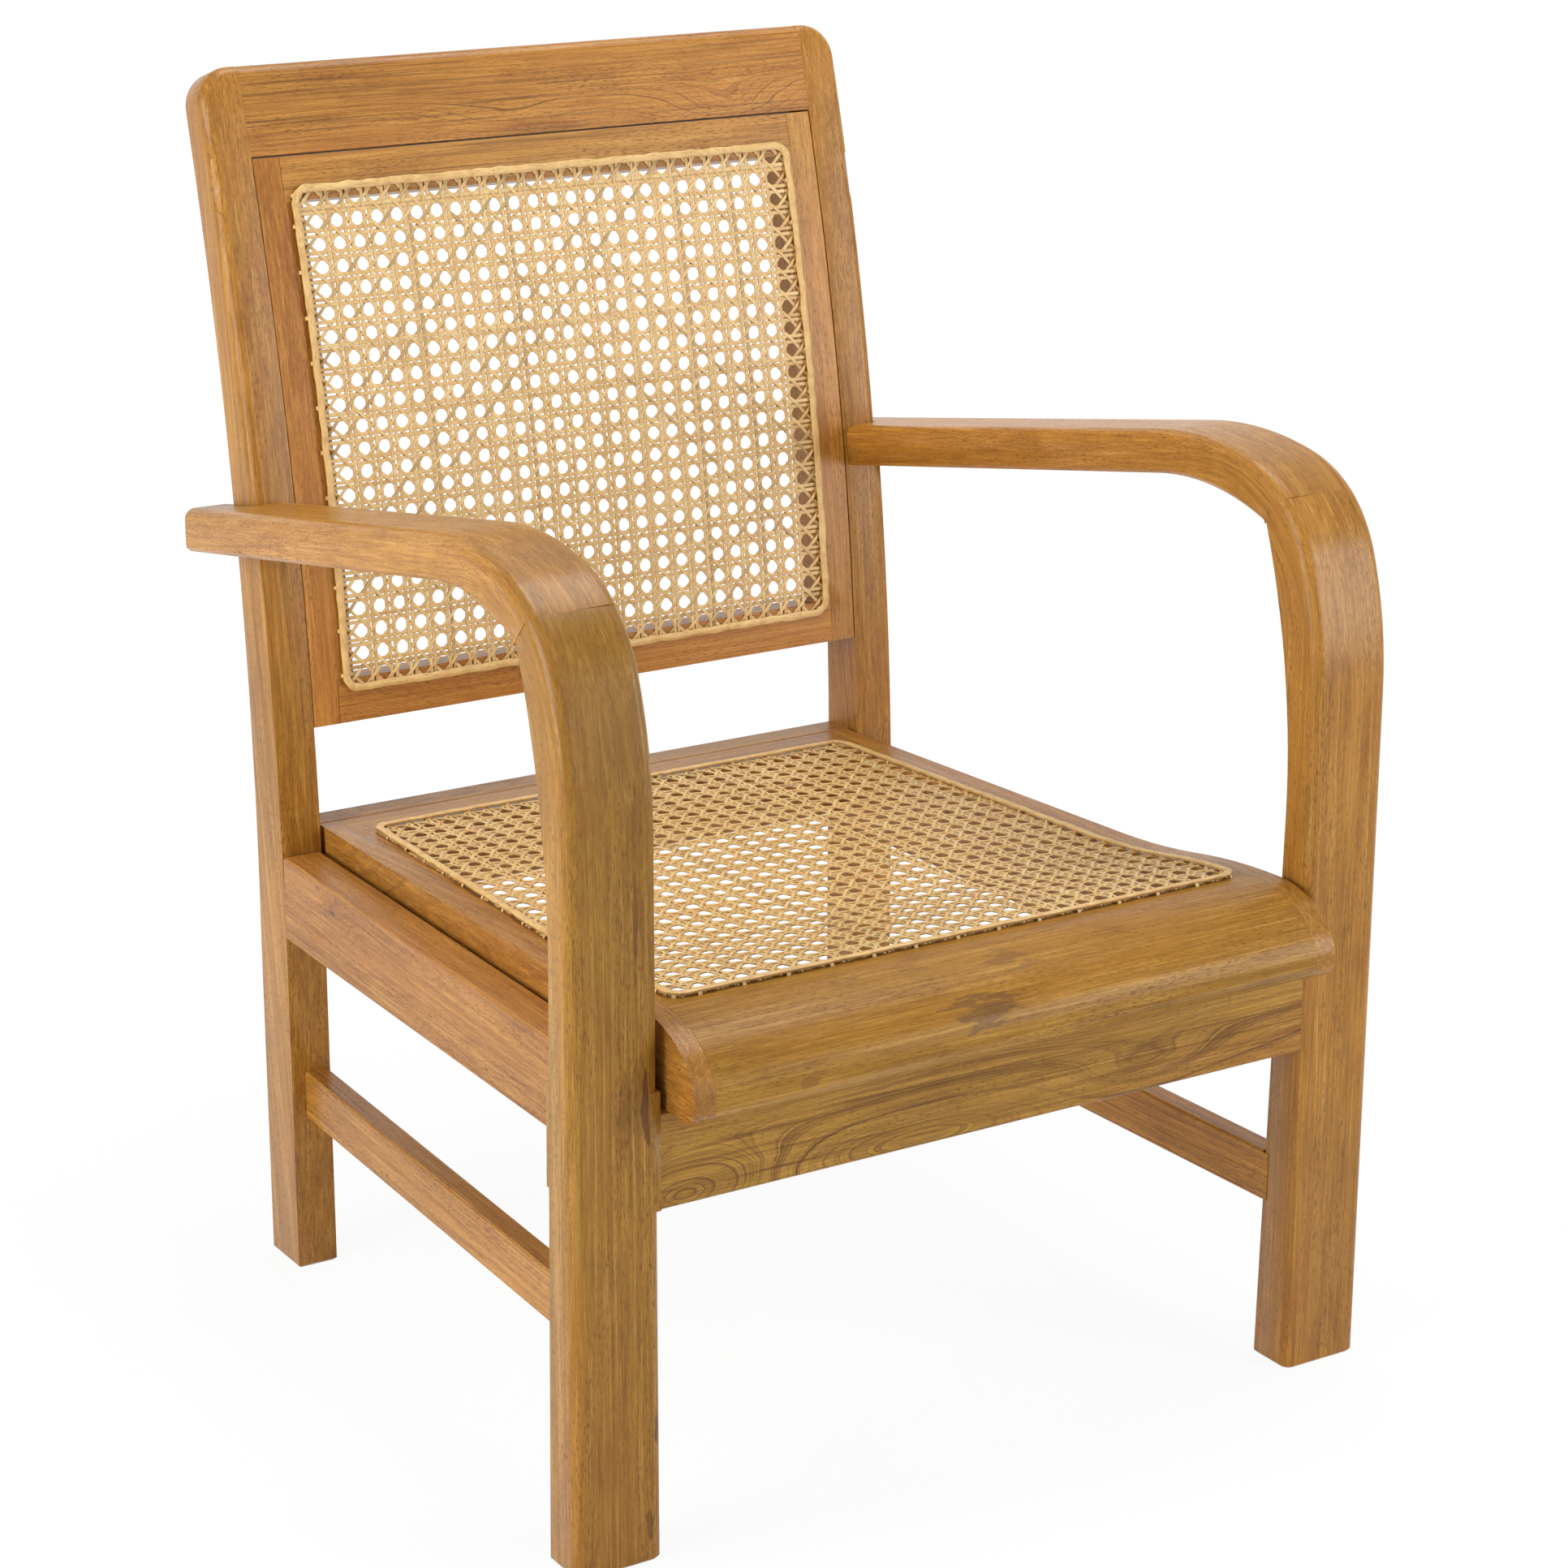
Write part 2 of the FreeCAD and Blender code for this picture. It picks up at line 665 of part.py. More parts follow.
def front_apron():
    apron = block(-LEG_INNER_X, LEG_INNER_X, 0, FRONT_APRON_THICKNESS, FRONT_APRON_BASE, SEAT_BASE)
    apron = chamfered(apron, ARRIS, lambda point, edge: runs_along(edge, X_AXIS))
    tenon = front_apron_tenon()
    return apron.fuse([tenon, mirrored(tenon)]).removeSplitter()


def rear_post():
    """The post, rounded above the arm and square below it where the rails meet it."""
    raw = across(post_outline(), POST_INNER_X, POST_OUTER_X)
    top = back_point(lean_angle(BACK_HEIGHT), POST_TOP_DEPTH).z - JOINT_GAP

    def top_corner(point, edge):
        return point.z > top and near(point.x, POST_OUTER_X)

    def front_edge(point, edge):
        front = back_front_y(max(point.z, BACK_BEND_HEIGHT))
        upper = point.z > top - POST_TOP_CORNER or near(point.x, POST_OUTER_X)
        return abs(point.y - front) < POST_ROUND / 2 and upper and point.z > BACK_BEND_HEIGHT \
            and not near(point.x, POST_INNER_X)

    post = softened(raw, POST_TOP_CORNER, top_corner)
    post = softened(post, POST_ROUND, front_edge)
    arm_height = arm_underside_height(POST_FRONT_Y)
    square_part = block(0, MAKING_HALF_WIDTH, 0, MAKING_REAR_Y, 0, arm_height)
    post = post.fuse(raw.common(square_part)).removeSplitter()
    post = post.makeChamfer(FOOT_CHAMFER, foot_edges(post))
    tenons = [crest_tenon(), rear_rail_tenon(), side_apron_rear_tenon(), stretcher_rear_tenon()]
    post = post.cut(combined([grown(tenon) for tenon in tenons]))
    return post.cut(combined([arm_tongue(JOINT_GAP)] + panel_tongues(JOINT_GAP)))


# Back panel


def panel_half_width():
    return POST_INNER_X - PANEL_GAP


def panel_top():
    return BACK_HEIGHT - CREST_HEIGHT - PANEL_CREST_GAP


def panel_joint_x():
    return panel_half_width() - PANEL_JOINT_INSET


def panel_frame_bounds(inset):
    """Half width, low and high edge of the binder's outline, drawn in by an inset."""
    half_width = panel_half_width() - PANEL_SIDE_SHOW - inset
    return half_width, PANEL_BASE + PANEL_BASE_SHOW + inset, panel_top() - PANEL_TOP_SHOW - inset


def panel_slab(inset, depth_front, depth_rear):
    """A curved slab inside the binder's outline, with rounded corners."""
    half_width, low, high = panel_frame_bounds(inset)
    solid = band(low, high, depth_front, depth_rear, -half_width, half_width)
    corner_edges = [e for e in solid.Edges if runs_along(e, Y_AXIS)]
    return solid.makeFillet(BINDER_CORNER - inset, corner_edges)


def panel_opening():
    return panel_slab(OPENING_INSET, -OVERRUN, PANEL_THICKNESS + OVERRUN)


def panel_lip_bounds():
    half_width, low, high = panel_frame_bounds(OPENING_INSET)
    return low + OPENING_CORNER, high - OPENING_CORNER


def back_panel_stile():
    low, high = panel_lip_bounds()
    joint = panel_joint_x()
    half_width = panel_half_width()
    stile = band(PANEL_BASE, panel_top(), 0, PANEL_THICKNESS, joint, half_width)
    stile = stile.fuse(band(low, high, 0, PANEL_THICKNESS, 0, joint)).removeSplitter()
    stile = stile.cut(panel_opening())
    return stile.cut(combined(panel_tongues(JOINT_GAP) + [grown(t) for t in panel_frame_tenons()]))


def back_panel_rail(low, high):
    joint = panel_joint_x()
    rail = band(low, high, 0, PANEL_THICKNESS, -joint, joint).cut(panel_opening())
    tenons = [t for t in panel_frame_tenons() if low < t.CenterOfMass.z < high]
    return rail.fuse(tenons + [mirrored(t) for t in tenons]).removeSplitter()


def panel_frame_tenons():
    """The tenons of the panel's rails in its right-hand stile, the lower one first."""
    _, low, high = panel_frame_bounds(OPENING_INSET)
    half = FRAME_TENON_THICKNESS / 2
    tenons = []
    for base, top in ((PANEL_BASE, low), (high, panel_top())):
        centre = back_point(lean_angle((base + top) / 2), PANEL_THICKNESS / 2)
        tenons.append(block(
            panel_joint_x(), panel_joint_x() + FRAME_TENON_LENGTH, centre.y - half, centre.y + half,
            centre.z - FRAME_TENON_WIDTH / 2, centre.z + FRAME_TENON_WIDTH / 2,
        ))
    return tenons


def panel_tongues(gap=0.0):
    """Loose tongues that hold the panel's stile to the post."""
    reach = PANEL_TONGUE_LENGTH / 2 + gap
    half = PANEL_TONGUE_THICKNESS / 2 + gap
    half_width = PANEL_TONGUE_WIDTH / 2 + gap
    tongues = []
    for share in PANEL_TONGUE_SHARES:
        height = PANEL_BASE + (panel_top() - PANEL_BASE) * share
        centre = back_point(lean_angle(height), PANEL_THICKNESS / 2)
        tongues.append(block(
            panel_half_width() - reach, panel_half_width() + reach, centre.y - half, centre.y + half,
            centre.z - half_width, centre.z + half_width,
        ))
    return tongues


def spans(low, high, count):
    """The openings' ends along a line, evenly spaced and shorter than their pitch."""
    pitch = (high - low) / count
    half = pitch * CANE_OPEN_SHARE / 2
    centres = [low + pitch * (number + 0.5) for number in range(count)]
    return [(centre - half, centre + half) for centre in centres]


def back_cane():
    """The cane of the back, with a plain grid of openings for its holes."""
    half_width, low, high = panel_frame_bounds(CANE_MARGIN)
    openings = [
        block(x_low, x_high, 0, MAKING_REAR_Y, z_low, z_high)
        for x_low, x_high in spans(-half_width, half_width, BACK_OPENING_COLUMNS)
        for z_low, z_high in spans(low, high, BACK_OPENING_ROWS)
    ]
    return panel_slab(0, -CANE_LIE_GAP - CANE_THICKNESS, -CANE_LIE_GAP).cut(combined(openings))


def back_cane_binder():
    """The strip that lies on the cane's edge."""
    low = 2 * CANE_LIE_GAP + CANE_THICKNESS
    ring = panel_slab(0, -low - BINDER_THICKNESS, -low)
    return ring.cut(panel_slab(BINDER_WIDTH, -OVERRUN, OVERRUN))


# Seat


def seat_outer_x(y):
    return splayed(POST_INNER_X - SEAT_SIDE_GAP, y)


def seat_top_edges(lift):
    """The seat's top line from the back to the nose, raised by a lift."""
    rear = side_point(SEAT_REAR_Y, SEAT_REAR_TOP + lift)
    run = SEAT_REAR_Y - SEAT_SWELL_START
    swell = side_point(SEAT_SWELL_START, SEAT_REAR_TOP + SEAT_SLOPE * run + lift)
    crest = side_point(SEAT_CREST_Y, SEAT_CREST_HEIGHT + lift)
    nose = side_point(-SEAT_OVERHANG, SEAT_NOSE_HEIGHT + lift)
    span = SEAT_SWELL_START - SEAT_CREST_Y
    reach = SEAT_CREST_Y + SEAT_OVERHANG
    drop = SEAT_CREST_HEIGHT - SEAT_NOSE_HEIGHT
    swell_out, swell_in = SWELL_SHARES
    nose_out, nose_in = NOSE_SHARES
    return [
        line(rear, swell),
        *curve(
            swell,
            swell + side_point(-span * swell_out, span * swell_out * SEAT_SLOPE),
            crest + side_point(span * (1 - swell_in), 0),
            crest,
        ),
        *curve(crest, crest - side_point(reach * nose_out, 0), nose + side_point(0, drop * nose_in), nose),
    ]


def seat_outline():
    turn = math.sqrt(0.5) * SEAT_NOSE_ROUND
    nose_end = side_point(-SEAT_OVERHANG + SEAT_NOSE_ROUND, SEAT_BASE)
    start = side_point(-SEAT_OVERHANG, SEAT_BASE + SEAT_NOSE_ROUND)
    middle = side_point(
        -SEAT_OVERHANG + SEAT_NOSE_ROUND - turn, SEAT_BASE + SEAT_NOSE_ROUND - turn)
    rear_low = side_point(SEAT_REAR_Y, SEAT_BASE)
    rear_top = side_point(SEAT_REAR_Y, SEAT_REAR_TOP)
    edges = seat_top_edges(0)
    return edges + [arc(start, middle, nose_end), line(nose_end, rear_low), line(rear_low, rear_top)]


def seat_blank():
    return across(seat_outline(), -MAKING_HALF_WIDTH, MAKING_HALF_WIDTH)


def seat_strip(inset, y_low, y_high):
    """The plan of the seat between two Y, drawn in from its splayed sides."""
    x_low = seat_outer_x(y_low) - inset
    x_high = seat_outer_x(y_high) - inset
    return plan_block([(-x_low, y_low), (x_low, y_low), (x_high, y_high), (-x_high, y_high)])


def seat_cane_bounds(inset):
    """Front and rear Y of the binder's outline on the seat and its half widths there, drawn in."""
    front = -SEAT_OVERHANG + SEAT_FRONT_SHOW
    rear = SEAT_REAR_Y - SEAT_REAR_SHOW
    x_front = seat_outer_x(front) - SEAT_FRONT_SIDE_SHOW - inset
    x_rear = seat_outer_x(rear) - SEAT_REAR_SIDE_SHOW - inset
    return front + inset, rear - inset, x_front, x_rear


def seat_cane_plan(inset):
    """The plan of the binder's outline on the seat, drawn in by an inset."""
    front, rear, x_front, x_rear = seat_cane_bounds(inset)
    corners = [(-x_front, front), (x_front, front), (x_rear, rear), (-x_rear, rear)]
    return rounded_block(corners, BINDER_CORNER - inset)


def seat_lip_bounds():
    front = -SEAT_OVERHANG + SEAT_FRONT_SHOW + OPENING_INSET + OPENING_CORNER
    rear = SEAT_REAR_Y - SEAT_REAR_SHOW - OPENING_INSET - OPENING_CORNER
    return front, rear


def seat_rail():
    """The right-hand seat rail, which ends in the profile of the front roll."""
    lip_front, lip_rear = seat_lip_bounds()
    front = -SEAT_OVERHANG - OVERRUN
    rear = SEAT_REAR_Y + OVERRUN
    edge_strip = seat_strip(0, front, rear).cut(seat_strip(SEAT_JOINT_INSET, front, rear))
    lip = seat_strip(SEAT_JOINT_INSET, lip_front, lip_rear)
    plan = edge_strip.fuse(lip).common(block(0, MAKING_HALF_WIDTH, front, rear, 0, MAKING_HEIGHT))
    rail = seat_blank().common(plan).cut(seat_cane_plan(OPENING_INSET)).removeSplitter()
    return rail.cut(combined([grown(tenon) for tenon in seat_tenons()]))


def seat_cross_piece(y_low, y_high):
    """The front roll or the back rail: the seat's profile between the side rails."""
    piece = seat_blank().common(seat_strip(SEAT_JOINT_INSET, y_low, y_high))
    piece = piece.cut(seat_cane_plan(OPENING_INSET))
    tenons = [t for t in seat_tenons() if y_low < t.CenterOfMass.y < y_high]
    return piece.fuse(tenons + [mirrored(t) for t in tenons]).removeSplitter()


def seat_tenons():
    """The tenons of the roll and the back rail in the right seat rail, which start inside them."""
    half = (SEAT_REAR_TOP - SEAT_BASE) / 6
    height = (SEAT_BASE + SEAT_REAR_TOP) / 2
    front_middle = SEAT_CREST_Y
    rear_middle = SEAT_REAR_Y - SEAT_REAR_SHOW / 2
    tenons = []
    for middle_y, width in ((front_middle, SEAT_TENON_WIDTH), (rear_middle, FRAME_TENON_WIDTH)):
        y_low = middle_y - width / 2
        y_high = middle_y + width / 2
        root = seat_outer_x(y_high) - SEAT_JOINT_INSET - SEAT_SIDE_GAP
        end = seat_outer_x(y_low) - SEAT_JOINT_INSET + SEAT_TENON_LENGTH
        tenons.append(block(root, end, y_low, y_high, height - half, height + half))
    return tenons


def seat_skin(lift_low, lift_high):
    """A layer over the seat's whole top, between two lifts."""
    low = seat_top_edges(lift_low)
    high = seat_top_edges(lift_high)
    rear = line(low[0].Vertexes[0].Point, high[0].Vertexes[0].Point)
    nose_low = side_point(-SEAT_OVERHANG, SEAT_NOSE_HEIGHT + lift_low)
    nose_high = side_point(-SEAT_OVERHANG, SEAT_NOSE_HEIGHT + lift_high)
    outline = Part.Wire(Part.__sortEdges__(low + [line(nose_low, nose_high)] + high + [rear]))
    return across(outline, -MAKING_HALF_WIDTH, MAKING_HALF_WIDTH)


def seat_cane():
    """The cane of the seat, whose rows of openings narrow to the back with it."""
    front, rear, x_front, x_rear = seat_cane_bounds(CANE_MARGIN)
    narrowing = (x_rear - x_front) / (rear - front)
    openings = []
    for y_low, y_high in spans(front, rear, SEAT_OPENING_ROWS):
        reach = x_front + narrowing * (y_high - front)
        for x_low, x_high in spans(-reach, reach, SEAT_OPENING_COLUMNS):
            openings.append(block(x_low, x_high, y_low, y_high, SEAT_BASE, MAKING_HEIGHT))
    cane = seat_skin(CANE_LIE_GAP, CANE_LIE_GAP + CANE_THICKNESS).common(seat_cane_plan(0))
    return cane.cut(combined(openings))


def seat_cane_binder():
    low = 2 * CANE_LIE_GAP + CANE_THICKNESS
    ring = seat_cane_plan(0).cut(seat_cane_plan(BINDER_WIDTH))
    return seat_skin(low, low + BINDER_THICKNESS).common(ring)


# Bearers under the seat


def bearer_outer_x():
    return POST_OUTER_X - APRON_THICKNESS


def seat_bearer():
    bearer = side_bar(bearer_outer_x(), BEARER_THICKNESS, SEAT_BASE - BEARER_HEIGHT, BEARER_HEIGHT)
    bearer = bearer.cut(raw_leg()).cut(front_waste())
    bearer = bearer.cut(block(0, MAKING_HALF_WIDTH, -OVERRUN, LEG_FOOT_DEPTH, 0, MAKING_HEIGHT))
    return bearer.cut(combined(bearer_pins(JOINT_GAP)))


def rear_seat_bearer():
    rear = POST_FRONT_Y + POST_FOOT_DEPTH - REAR_RAIL_THICKNESS
    low = SEAT_BASE - REAR_BEARER_HEIGHT
    return block(-POST_INNER_X, POST_INNER_X, POST_FRONT_Y, rear, low, SEAT_BASE)


def bearer_pins(gap=0.0):
    """Pins through the right bearer into the apron."""
    height = SEAT_BASE - BEARER_HEIGHT / 2
    pins = []
    for share in PIN_SHARES:
        y = LEG_FOOT_DEPTH + (POST_FRONT_Y - LEG_FOOT_DEPTH) * share
        inner_face = splayed(bearer_outer_x() - BEARER_THICKNESS, y)
        sink = PIN_RADIUS * SIDE_SPLAY + JOINT_GAP - gap
        start = FreeCAD.Vector(inner_face + sink, y, height)
        pins.append(rod(start, X_AXIS, PIN_LENGTH + 2 * gap, PIN_RADIUS + gap))
    return pins


def both_sides(solids):
    return combined(solids + [mirrored(solid) for solid in solids])


def pieces():
    """Every piece of the chair by name, in the frame that has Y zero at the legs' front."""
    _, panel_low, panel_high = panel_frame_bounds(OPENING_INSET)
    lip_front, lip_rear = seat_lip_bounds()
    found = {
        "crest_rail": crest_rail(),
        "rear_seat_rail": rear_seat_rail(),
        "front_apron": front_apron(),
        "back_panel_top_rail": back_panel_rail(panel_high - OPENING_CORNER, panel_top()),
        "back_panel_bottom_rail": back_panel_rail(PANEL_BASE, panel_low + OPENING_CORNER),
        "back_cane": back_cane(),
        "back_cane_binder": back_cane_binder(),
        "seat_front_roll": seat_cross_piece(-SEAT_OVERHANG - OVERRUN, lip_front),
        "seat_back_rail": seat_cross_piece(lip_rear, SEAT_REAR_Y + OVERRUN),
        "seat_cane": seat_cane(),
        "seat_cane_binder": seat_cane_binder(),
        "seat_bearer_rear": rear_seat_bearer(),
        "mitre_tongues": both_sides([mitre_tongue()]),
        "arm_tongues": both_sides([arm_tongue()]),
        "panel_tongues": both_sides(panel_tongues()),
        "bearer_pins": both_sides(bearer_pins()),
    }
    paired = {
        "rear_post": rear_post,
        "front_leg": front_leg,
        "arm": front_arm,
        "side_apron": side_apron,
        "side_stretcher": side_stretcher,
        "back_panel_stile": back_panel_stile,
        "seat_rail": seat_rail,
        "seat_bearer": seat_bearer,
    }
    for name, make in paired.items():
        right = make()
        found[name + "_right"] = right
        found[name + "_left"] = mirrored(right)
    return found


def main():
    os.makedirs("parts", exist_ok=True)
    found = pieces()
    front = min(shape.BoundBox.YMin for shape in found.values())
    rear = max(shape.BoundBox.YMax for shape in found.values())
    for name, shape in found.items():
        shape.translate(Y_AXIS * (-(front + rear) / 2))
        shape.exportStep("parts/" + name + ".step")
        box = shape.BoundBox
        print(name, len(shape.Solids), shape.isValid(), round(shape.Volume / 1000, 1),
              [round(v, 1) for v in (box.XMin, box.XMax, box.YMin, box.YMax, box.ZMin, box.ZMax)])


main()
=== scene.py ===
"""The planters chair's looks: satin lacquered hardwood, and back and seat of hand-woven cane."""
import math
import random
from dataclasses import dataclass

import bmesh
import bpy
from mathutils import Matrix, Vector
from mathutils.bvhtree import BVHTree


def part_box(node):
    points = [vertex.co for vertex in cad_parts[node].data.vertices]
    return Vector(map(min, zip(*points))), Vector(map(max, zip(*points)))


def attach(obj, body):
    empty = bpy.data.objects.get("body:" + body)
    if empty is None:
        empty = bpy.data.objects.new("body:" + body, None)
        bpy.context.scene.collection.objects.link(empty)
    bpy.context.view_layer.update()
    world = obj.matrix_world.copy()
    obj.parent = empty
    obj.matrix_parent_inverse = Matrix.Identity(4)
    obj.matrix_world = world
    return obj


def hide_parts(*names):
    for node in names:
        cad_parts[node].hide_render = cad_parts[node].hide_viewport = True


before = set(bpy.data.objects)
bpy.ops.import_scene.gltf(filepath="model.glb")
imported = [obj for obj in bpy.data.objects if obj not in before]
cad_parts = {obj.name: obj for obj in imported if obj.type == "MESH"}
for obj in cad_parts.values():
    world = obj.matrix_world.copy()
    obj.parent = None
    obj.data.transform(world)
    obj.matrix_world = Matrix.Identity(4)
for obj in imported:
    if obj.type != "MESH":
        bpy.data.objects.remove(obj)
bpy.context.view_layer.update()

# Camera, solved from the photograph's straight edges
CAMERA_PLACE = Vector((-1.3655, -2.2174, 1.2209))
CAMERA_FORWARD = Vector((0.5064, 0.8070, -0.3037))
CAMERA_ROLL = 0.00199
CAMERA_LENS = 89.9
CAMERA_SENSOR = 36.0
CAMERA_CLIP = 60.0

# Light: each lamp's name, place, size and power
LAMPS = (
    ("left_softbox", (-2.2, -0.3, 1.0), (1.3, 1.5), 42.0),
    ("top_softbox", (0.5, 0.1, 2.7), (1.3, 1.3), 34.0),
    ("front_right_softbox", (1.6, -2.0, 0.95), (0.9, 1.3), 26.5),
)
LAMP_TARGET = Vector((0.0, 0.0, 0.45))
WHITE = (1.0, 1.0, 1.0, 1.0)
WHITE_STRENGTH = 1.02
ROOM_TONE = (0.96, 0.98, 1.0, 1.0)
ROOM_STRENGTH = 0.33
FLOOR_TONE = (0.86, 0.86, 0.86, 1.0)
FLOOR_HALF = 30.0

# Back: the face that the cane lies on is part of a cylinder across the chair
BACK_RADIUS = 2.130
BACK_BEND_HEIGHT = 0.244

# Side view of leg and arm: the three tangent arcs of the outer bend, with Y from the legs' front
LEGS_FRONT = -0.3013
BEND_RADII = (0.2736, 0.0889, 0.2586)
BEND_SHARES = (0.198, 0.574, 0.228)
ARM_TOP_Y, ARM_TOP_Z = 0.209, 0.6326
ARM_SLOPE = 0.177
KNEE_DEPTH = 0.061
SIDE_SPLAY = 0.0394

# Rounded front edges of legs, arms and posts, up to the posts' top corners
LEG_HALF_WIDTH = 0.03125
LEG_ROUND = 0.008
POST_ROUND = 0.007
CORNER_BASE = 0.836
ROUND_SLACK = 0.0006
# How well a true normal has to agree with its face
SAME_WAY = 0.85

# Meshes of the boards: what is joined, and which edges are softened
MERGE_REACH = 0.000002
FLAT_ANGLE = math.radians(0.4)
ARRIS = 0.0009
ARRIS_ANGLE = math.radians(28)
ARRIS_LENGTHWAYS = 0.55
WOOD_SHARP_ANGLE = math.radians(38)
CANE_SHARP_ANGLE = math.radians(60)

# Weave: the pitch and the first pair's place are given as (across, along)
BACK_PITCH = (0.0157, 0.01613)
BACK_FIRST = (0.0087, 0.3771 + BACK_PITCH[1] / 2)
SEAT_PITCH = (0.01555, 0.0165)
SEAT_FIRST = (0.0007, 0.0211)
SEAT_FRONT_HALF = 0.2256
SEAT_REAR_HALF = 0.2025
STRAND_WIDTH = 0.0027
STRAND_THICKNESS = 0.00075
STRAND_DOME = 0.0003
STRAND_DRIFT = 0.0004
STRAND_SLACK = 0.0001
STRAND_WIDTHS = (0.9, 1.06)
FEWEST_STATIONS = 4
PAIR_SPREAD = 0.0019
CROSSING_HALF = 0.0045
CROSSING_LIFT = 0.00042
DIAGONAL_WIDTH = 0.0023
DIAGONAL_LIFT = 0.00085
WEAVE_LIFT = 0.0011
# Nearer to the ring of holes than this, no pair of strands runs along it
EDGE_ROOM = 0.0103

# Binder over the ring of holes
PATH_STEP = 0.008
CORNER_PARTS = 6
BINDER_WIDTH = 0.0048
BINDER_WIDTHS = (0.76, 1.06)
BINDER_WANDER = 0.0005
BINDER_RISE = 0.0006
BINDER_LIFT = 0.0019
BINDER_THICKNESS = 0.0016
BINDER_INSET = 0.0025
BINDER_CORNER = 0.0125
BINDER_MERGE = 0.00001

# Ties round the binder, one at every few steps of its path
TIE_STEPS = 4
TIE_WIDTH = 0.0029
TIE_THICKNESS = STRAND_THICKNESS * 0.7
TIE_REACH = BINDER_WIDTH * 0.5 + 0.0006
TIE_LIFT = BINDER_LIFT + BINDER_RISE + 0.0006
TIE_DROP = 0.0030
TIE_SLANT = 0.15

# Own attribute of the cane: how far along a strand, how far aside from its middle, and its tone
STRAND_LAYER = "strand"


# Nodes


class Signal:
    """A socket among nodes, written in sums like a number."""

    def __init__(self, nodes, socket):
        self.nodes = nodes
        self.socket = socket

    def __add__(self, other):
        return self.nodes.maths("ADD", self, other)

    def __sub__(self, other):
        return self.nodes.maths("SUBTRACT", self, other)

    def __rsub__(self, other):
        return self.nodes.maths("SUBTRACT", other, self)

    def __mul__(self, other):
        return self.nodes.maths("MULTIPLY", self, other)

    def __truediv__(self, other):
        return self.nodes.maths("DIVIDE", self, other)

    __radd__ = __add__
    __rmul__ = __mul__


class Nodes:
    """A node tree whose nodes are made by one method."""

    def __init__(self, tree):
        self.tree = tree
        tree.nodes.clear()

    def put(self, sockets, values):
        for key, value in values.items():
            if isinstance(value, Signal):
                self.tree.links.new(value.socket, sockets[key])
            else:
                sockets[key].default_value = value

    def node(self, kind, settings=None, inputs=None, output=0):
        made = self.tree.nodes.new(kind)
        for key, value in (settings or {}).items():
            if key == "stops":
                ramp = made.color_ramp.elements
                while len(ramp) < len(value):
                    ramp.new(0.5)
                for element, (position, colour) in zip(ramp, value):
                    element.position = position
                    element.color = colour
            else:
                setattr(made, key, value)
        self.put(made.inputs, inputs or {})
        return Signal(self, made.outputs[output])

    def outputs(self, kind, names, inputs=None):
        """The named outputs of one node."""
        made = self.node(kind, inputs=inputs).socket.node
        return [Signal(self, made.outputs[name]) for name in names]

    def show(self, surface, outlet):
        self.put(outlet.inputs, {"Surface": surface})

    def maths(self, operation, first, second=None):
        values = {0: first} if second is None else {0: first, 1: second}
        return self.node("ShaderNodeMath", {"operation": operation}, values)

    def vector(self, operation, first, second):
        settings = {"operation": operation}
        return self.node("ShaderNodeVectorMath", settings, {0: first, 1: second})

    def length(self, vector):
        return self.node("ShaderNodeVectorMath", {"operation": "LENGTH"}, {0: vector}, "Value")

    def noise(self, place, stretch, detail=2.0, rough=0.5, output="Fac"):
        stretched = self.vector("MULTIPLY", place, stretch)
        inputs = {"Vector": stretched, "Scale": 1.0, "Detail": detail, "Roughness": rough}
        return self.node("ShaderNodeTexNoise", inputs=inputs, output=output)

    def ramp(self, value, *stops):
        grey = [(position, (level, level, level, 1.0)) for position, level in stops]
        return self.node("ShaderNodeValToRGB", {"stops": grey}, {"Fac": value})

    def mixed(self, share, first, second, blend="MIX"):
        settings = {"data_type": "RGBA", "blend_type": blend}
        return self.node("ShaderNodeMix", settings, {0: share, 6: first, 7: second}, 2)

    def seen(self):
        """1 where the camera, a gloss or a glass looks, and 0 where only light is gathered."""
        names = ("Is Camera Ray", "Is Glossy Ray", "Is Transmission Ray")
        direct, gloss, glass = self.outputs("ShaderNodeLightPath", names)
        return self.maths("MAXIMUM", self.maths("MAXIMUM", direct, gloss), glass)


class Finish(Nodes):
    """A material round one shader."""

    def __init__(self, name):
        self.material = bpy.data.materials.new(name)
        self.material.use_nodes = True
        super().__init__(self.material.node_tree)
        self.shader = self.tree.nodes.new("ShaderNodeBsdfPrincipled")
        self.outlet = self.tree.nodes.new("ShaderNodeOutputMaterial")
        self.lit = Signal(self, self.shader.outputs[0])
        self.show(self.lit, self.outlet)

    def surface(self, **values):
        named = {key.replace("_", " "): value for key, value in values.items()}
        self.put(self.shader.inputs, named)
        return self.material


def paint(red, green, blue):
    """A colour as it looks on a screen, from 0 to 255, as the shader's own numbers."""
    shares = [value / 255 for value in (red, green, blue)]
    linear = [s / 12.92 if s < 0.04045 else ((s + 0.055) / 1.055) ** 2.4 for s in shares]
    return tuple(linear) + (1.0,)


# Wood


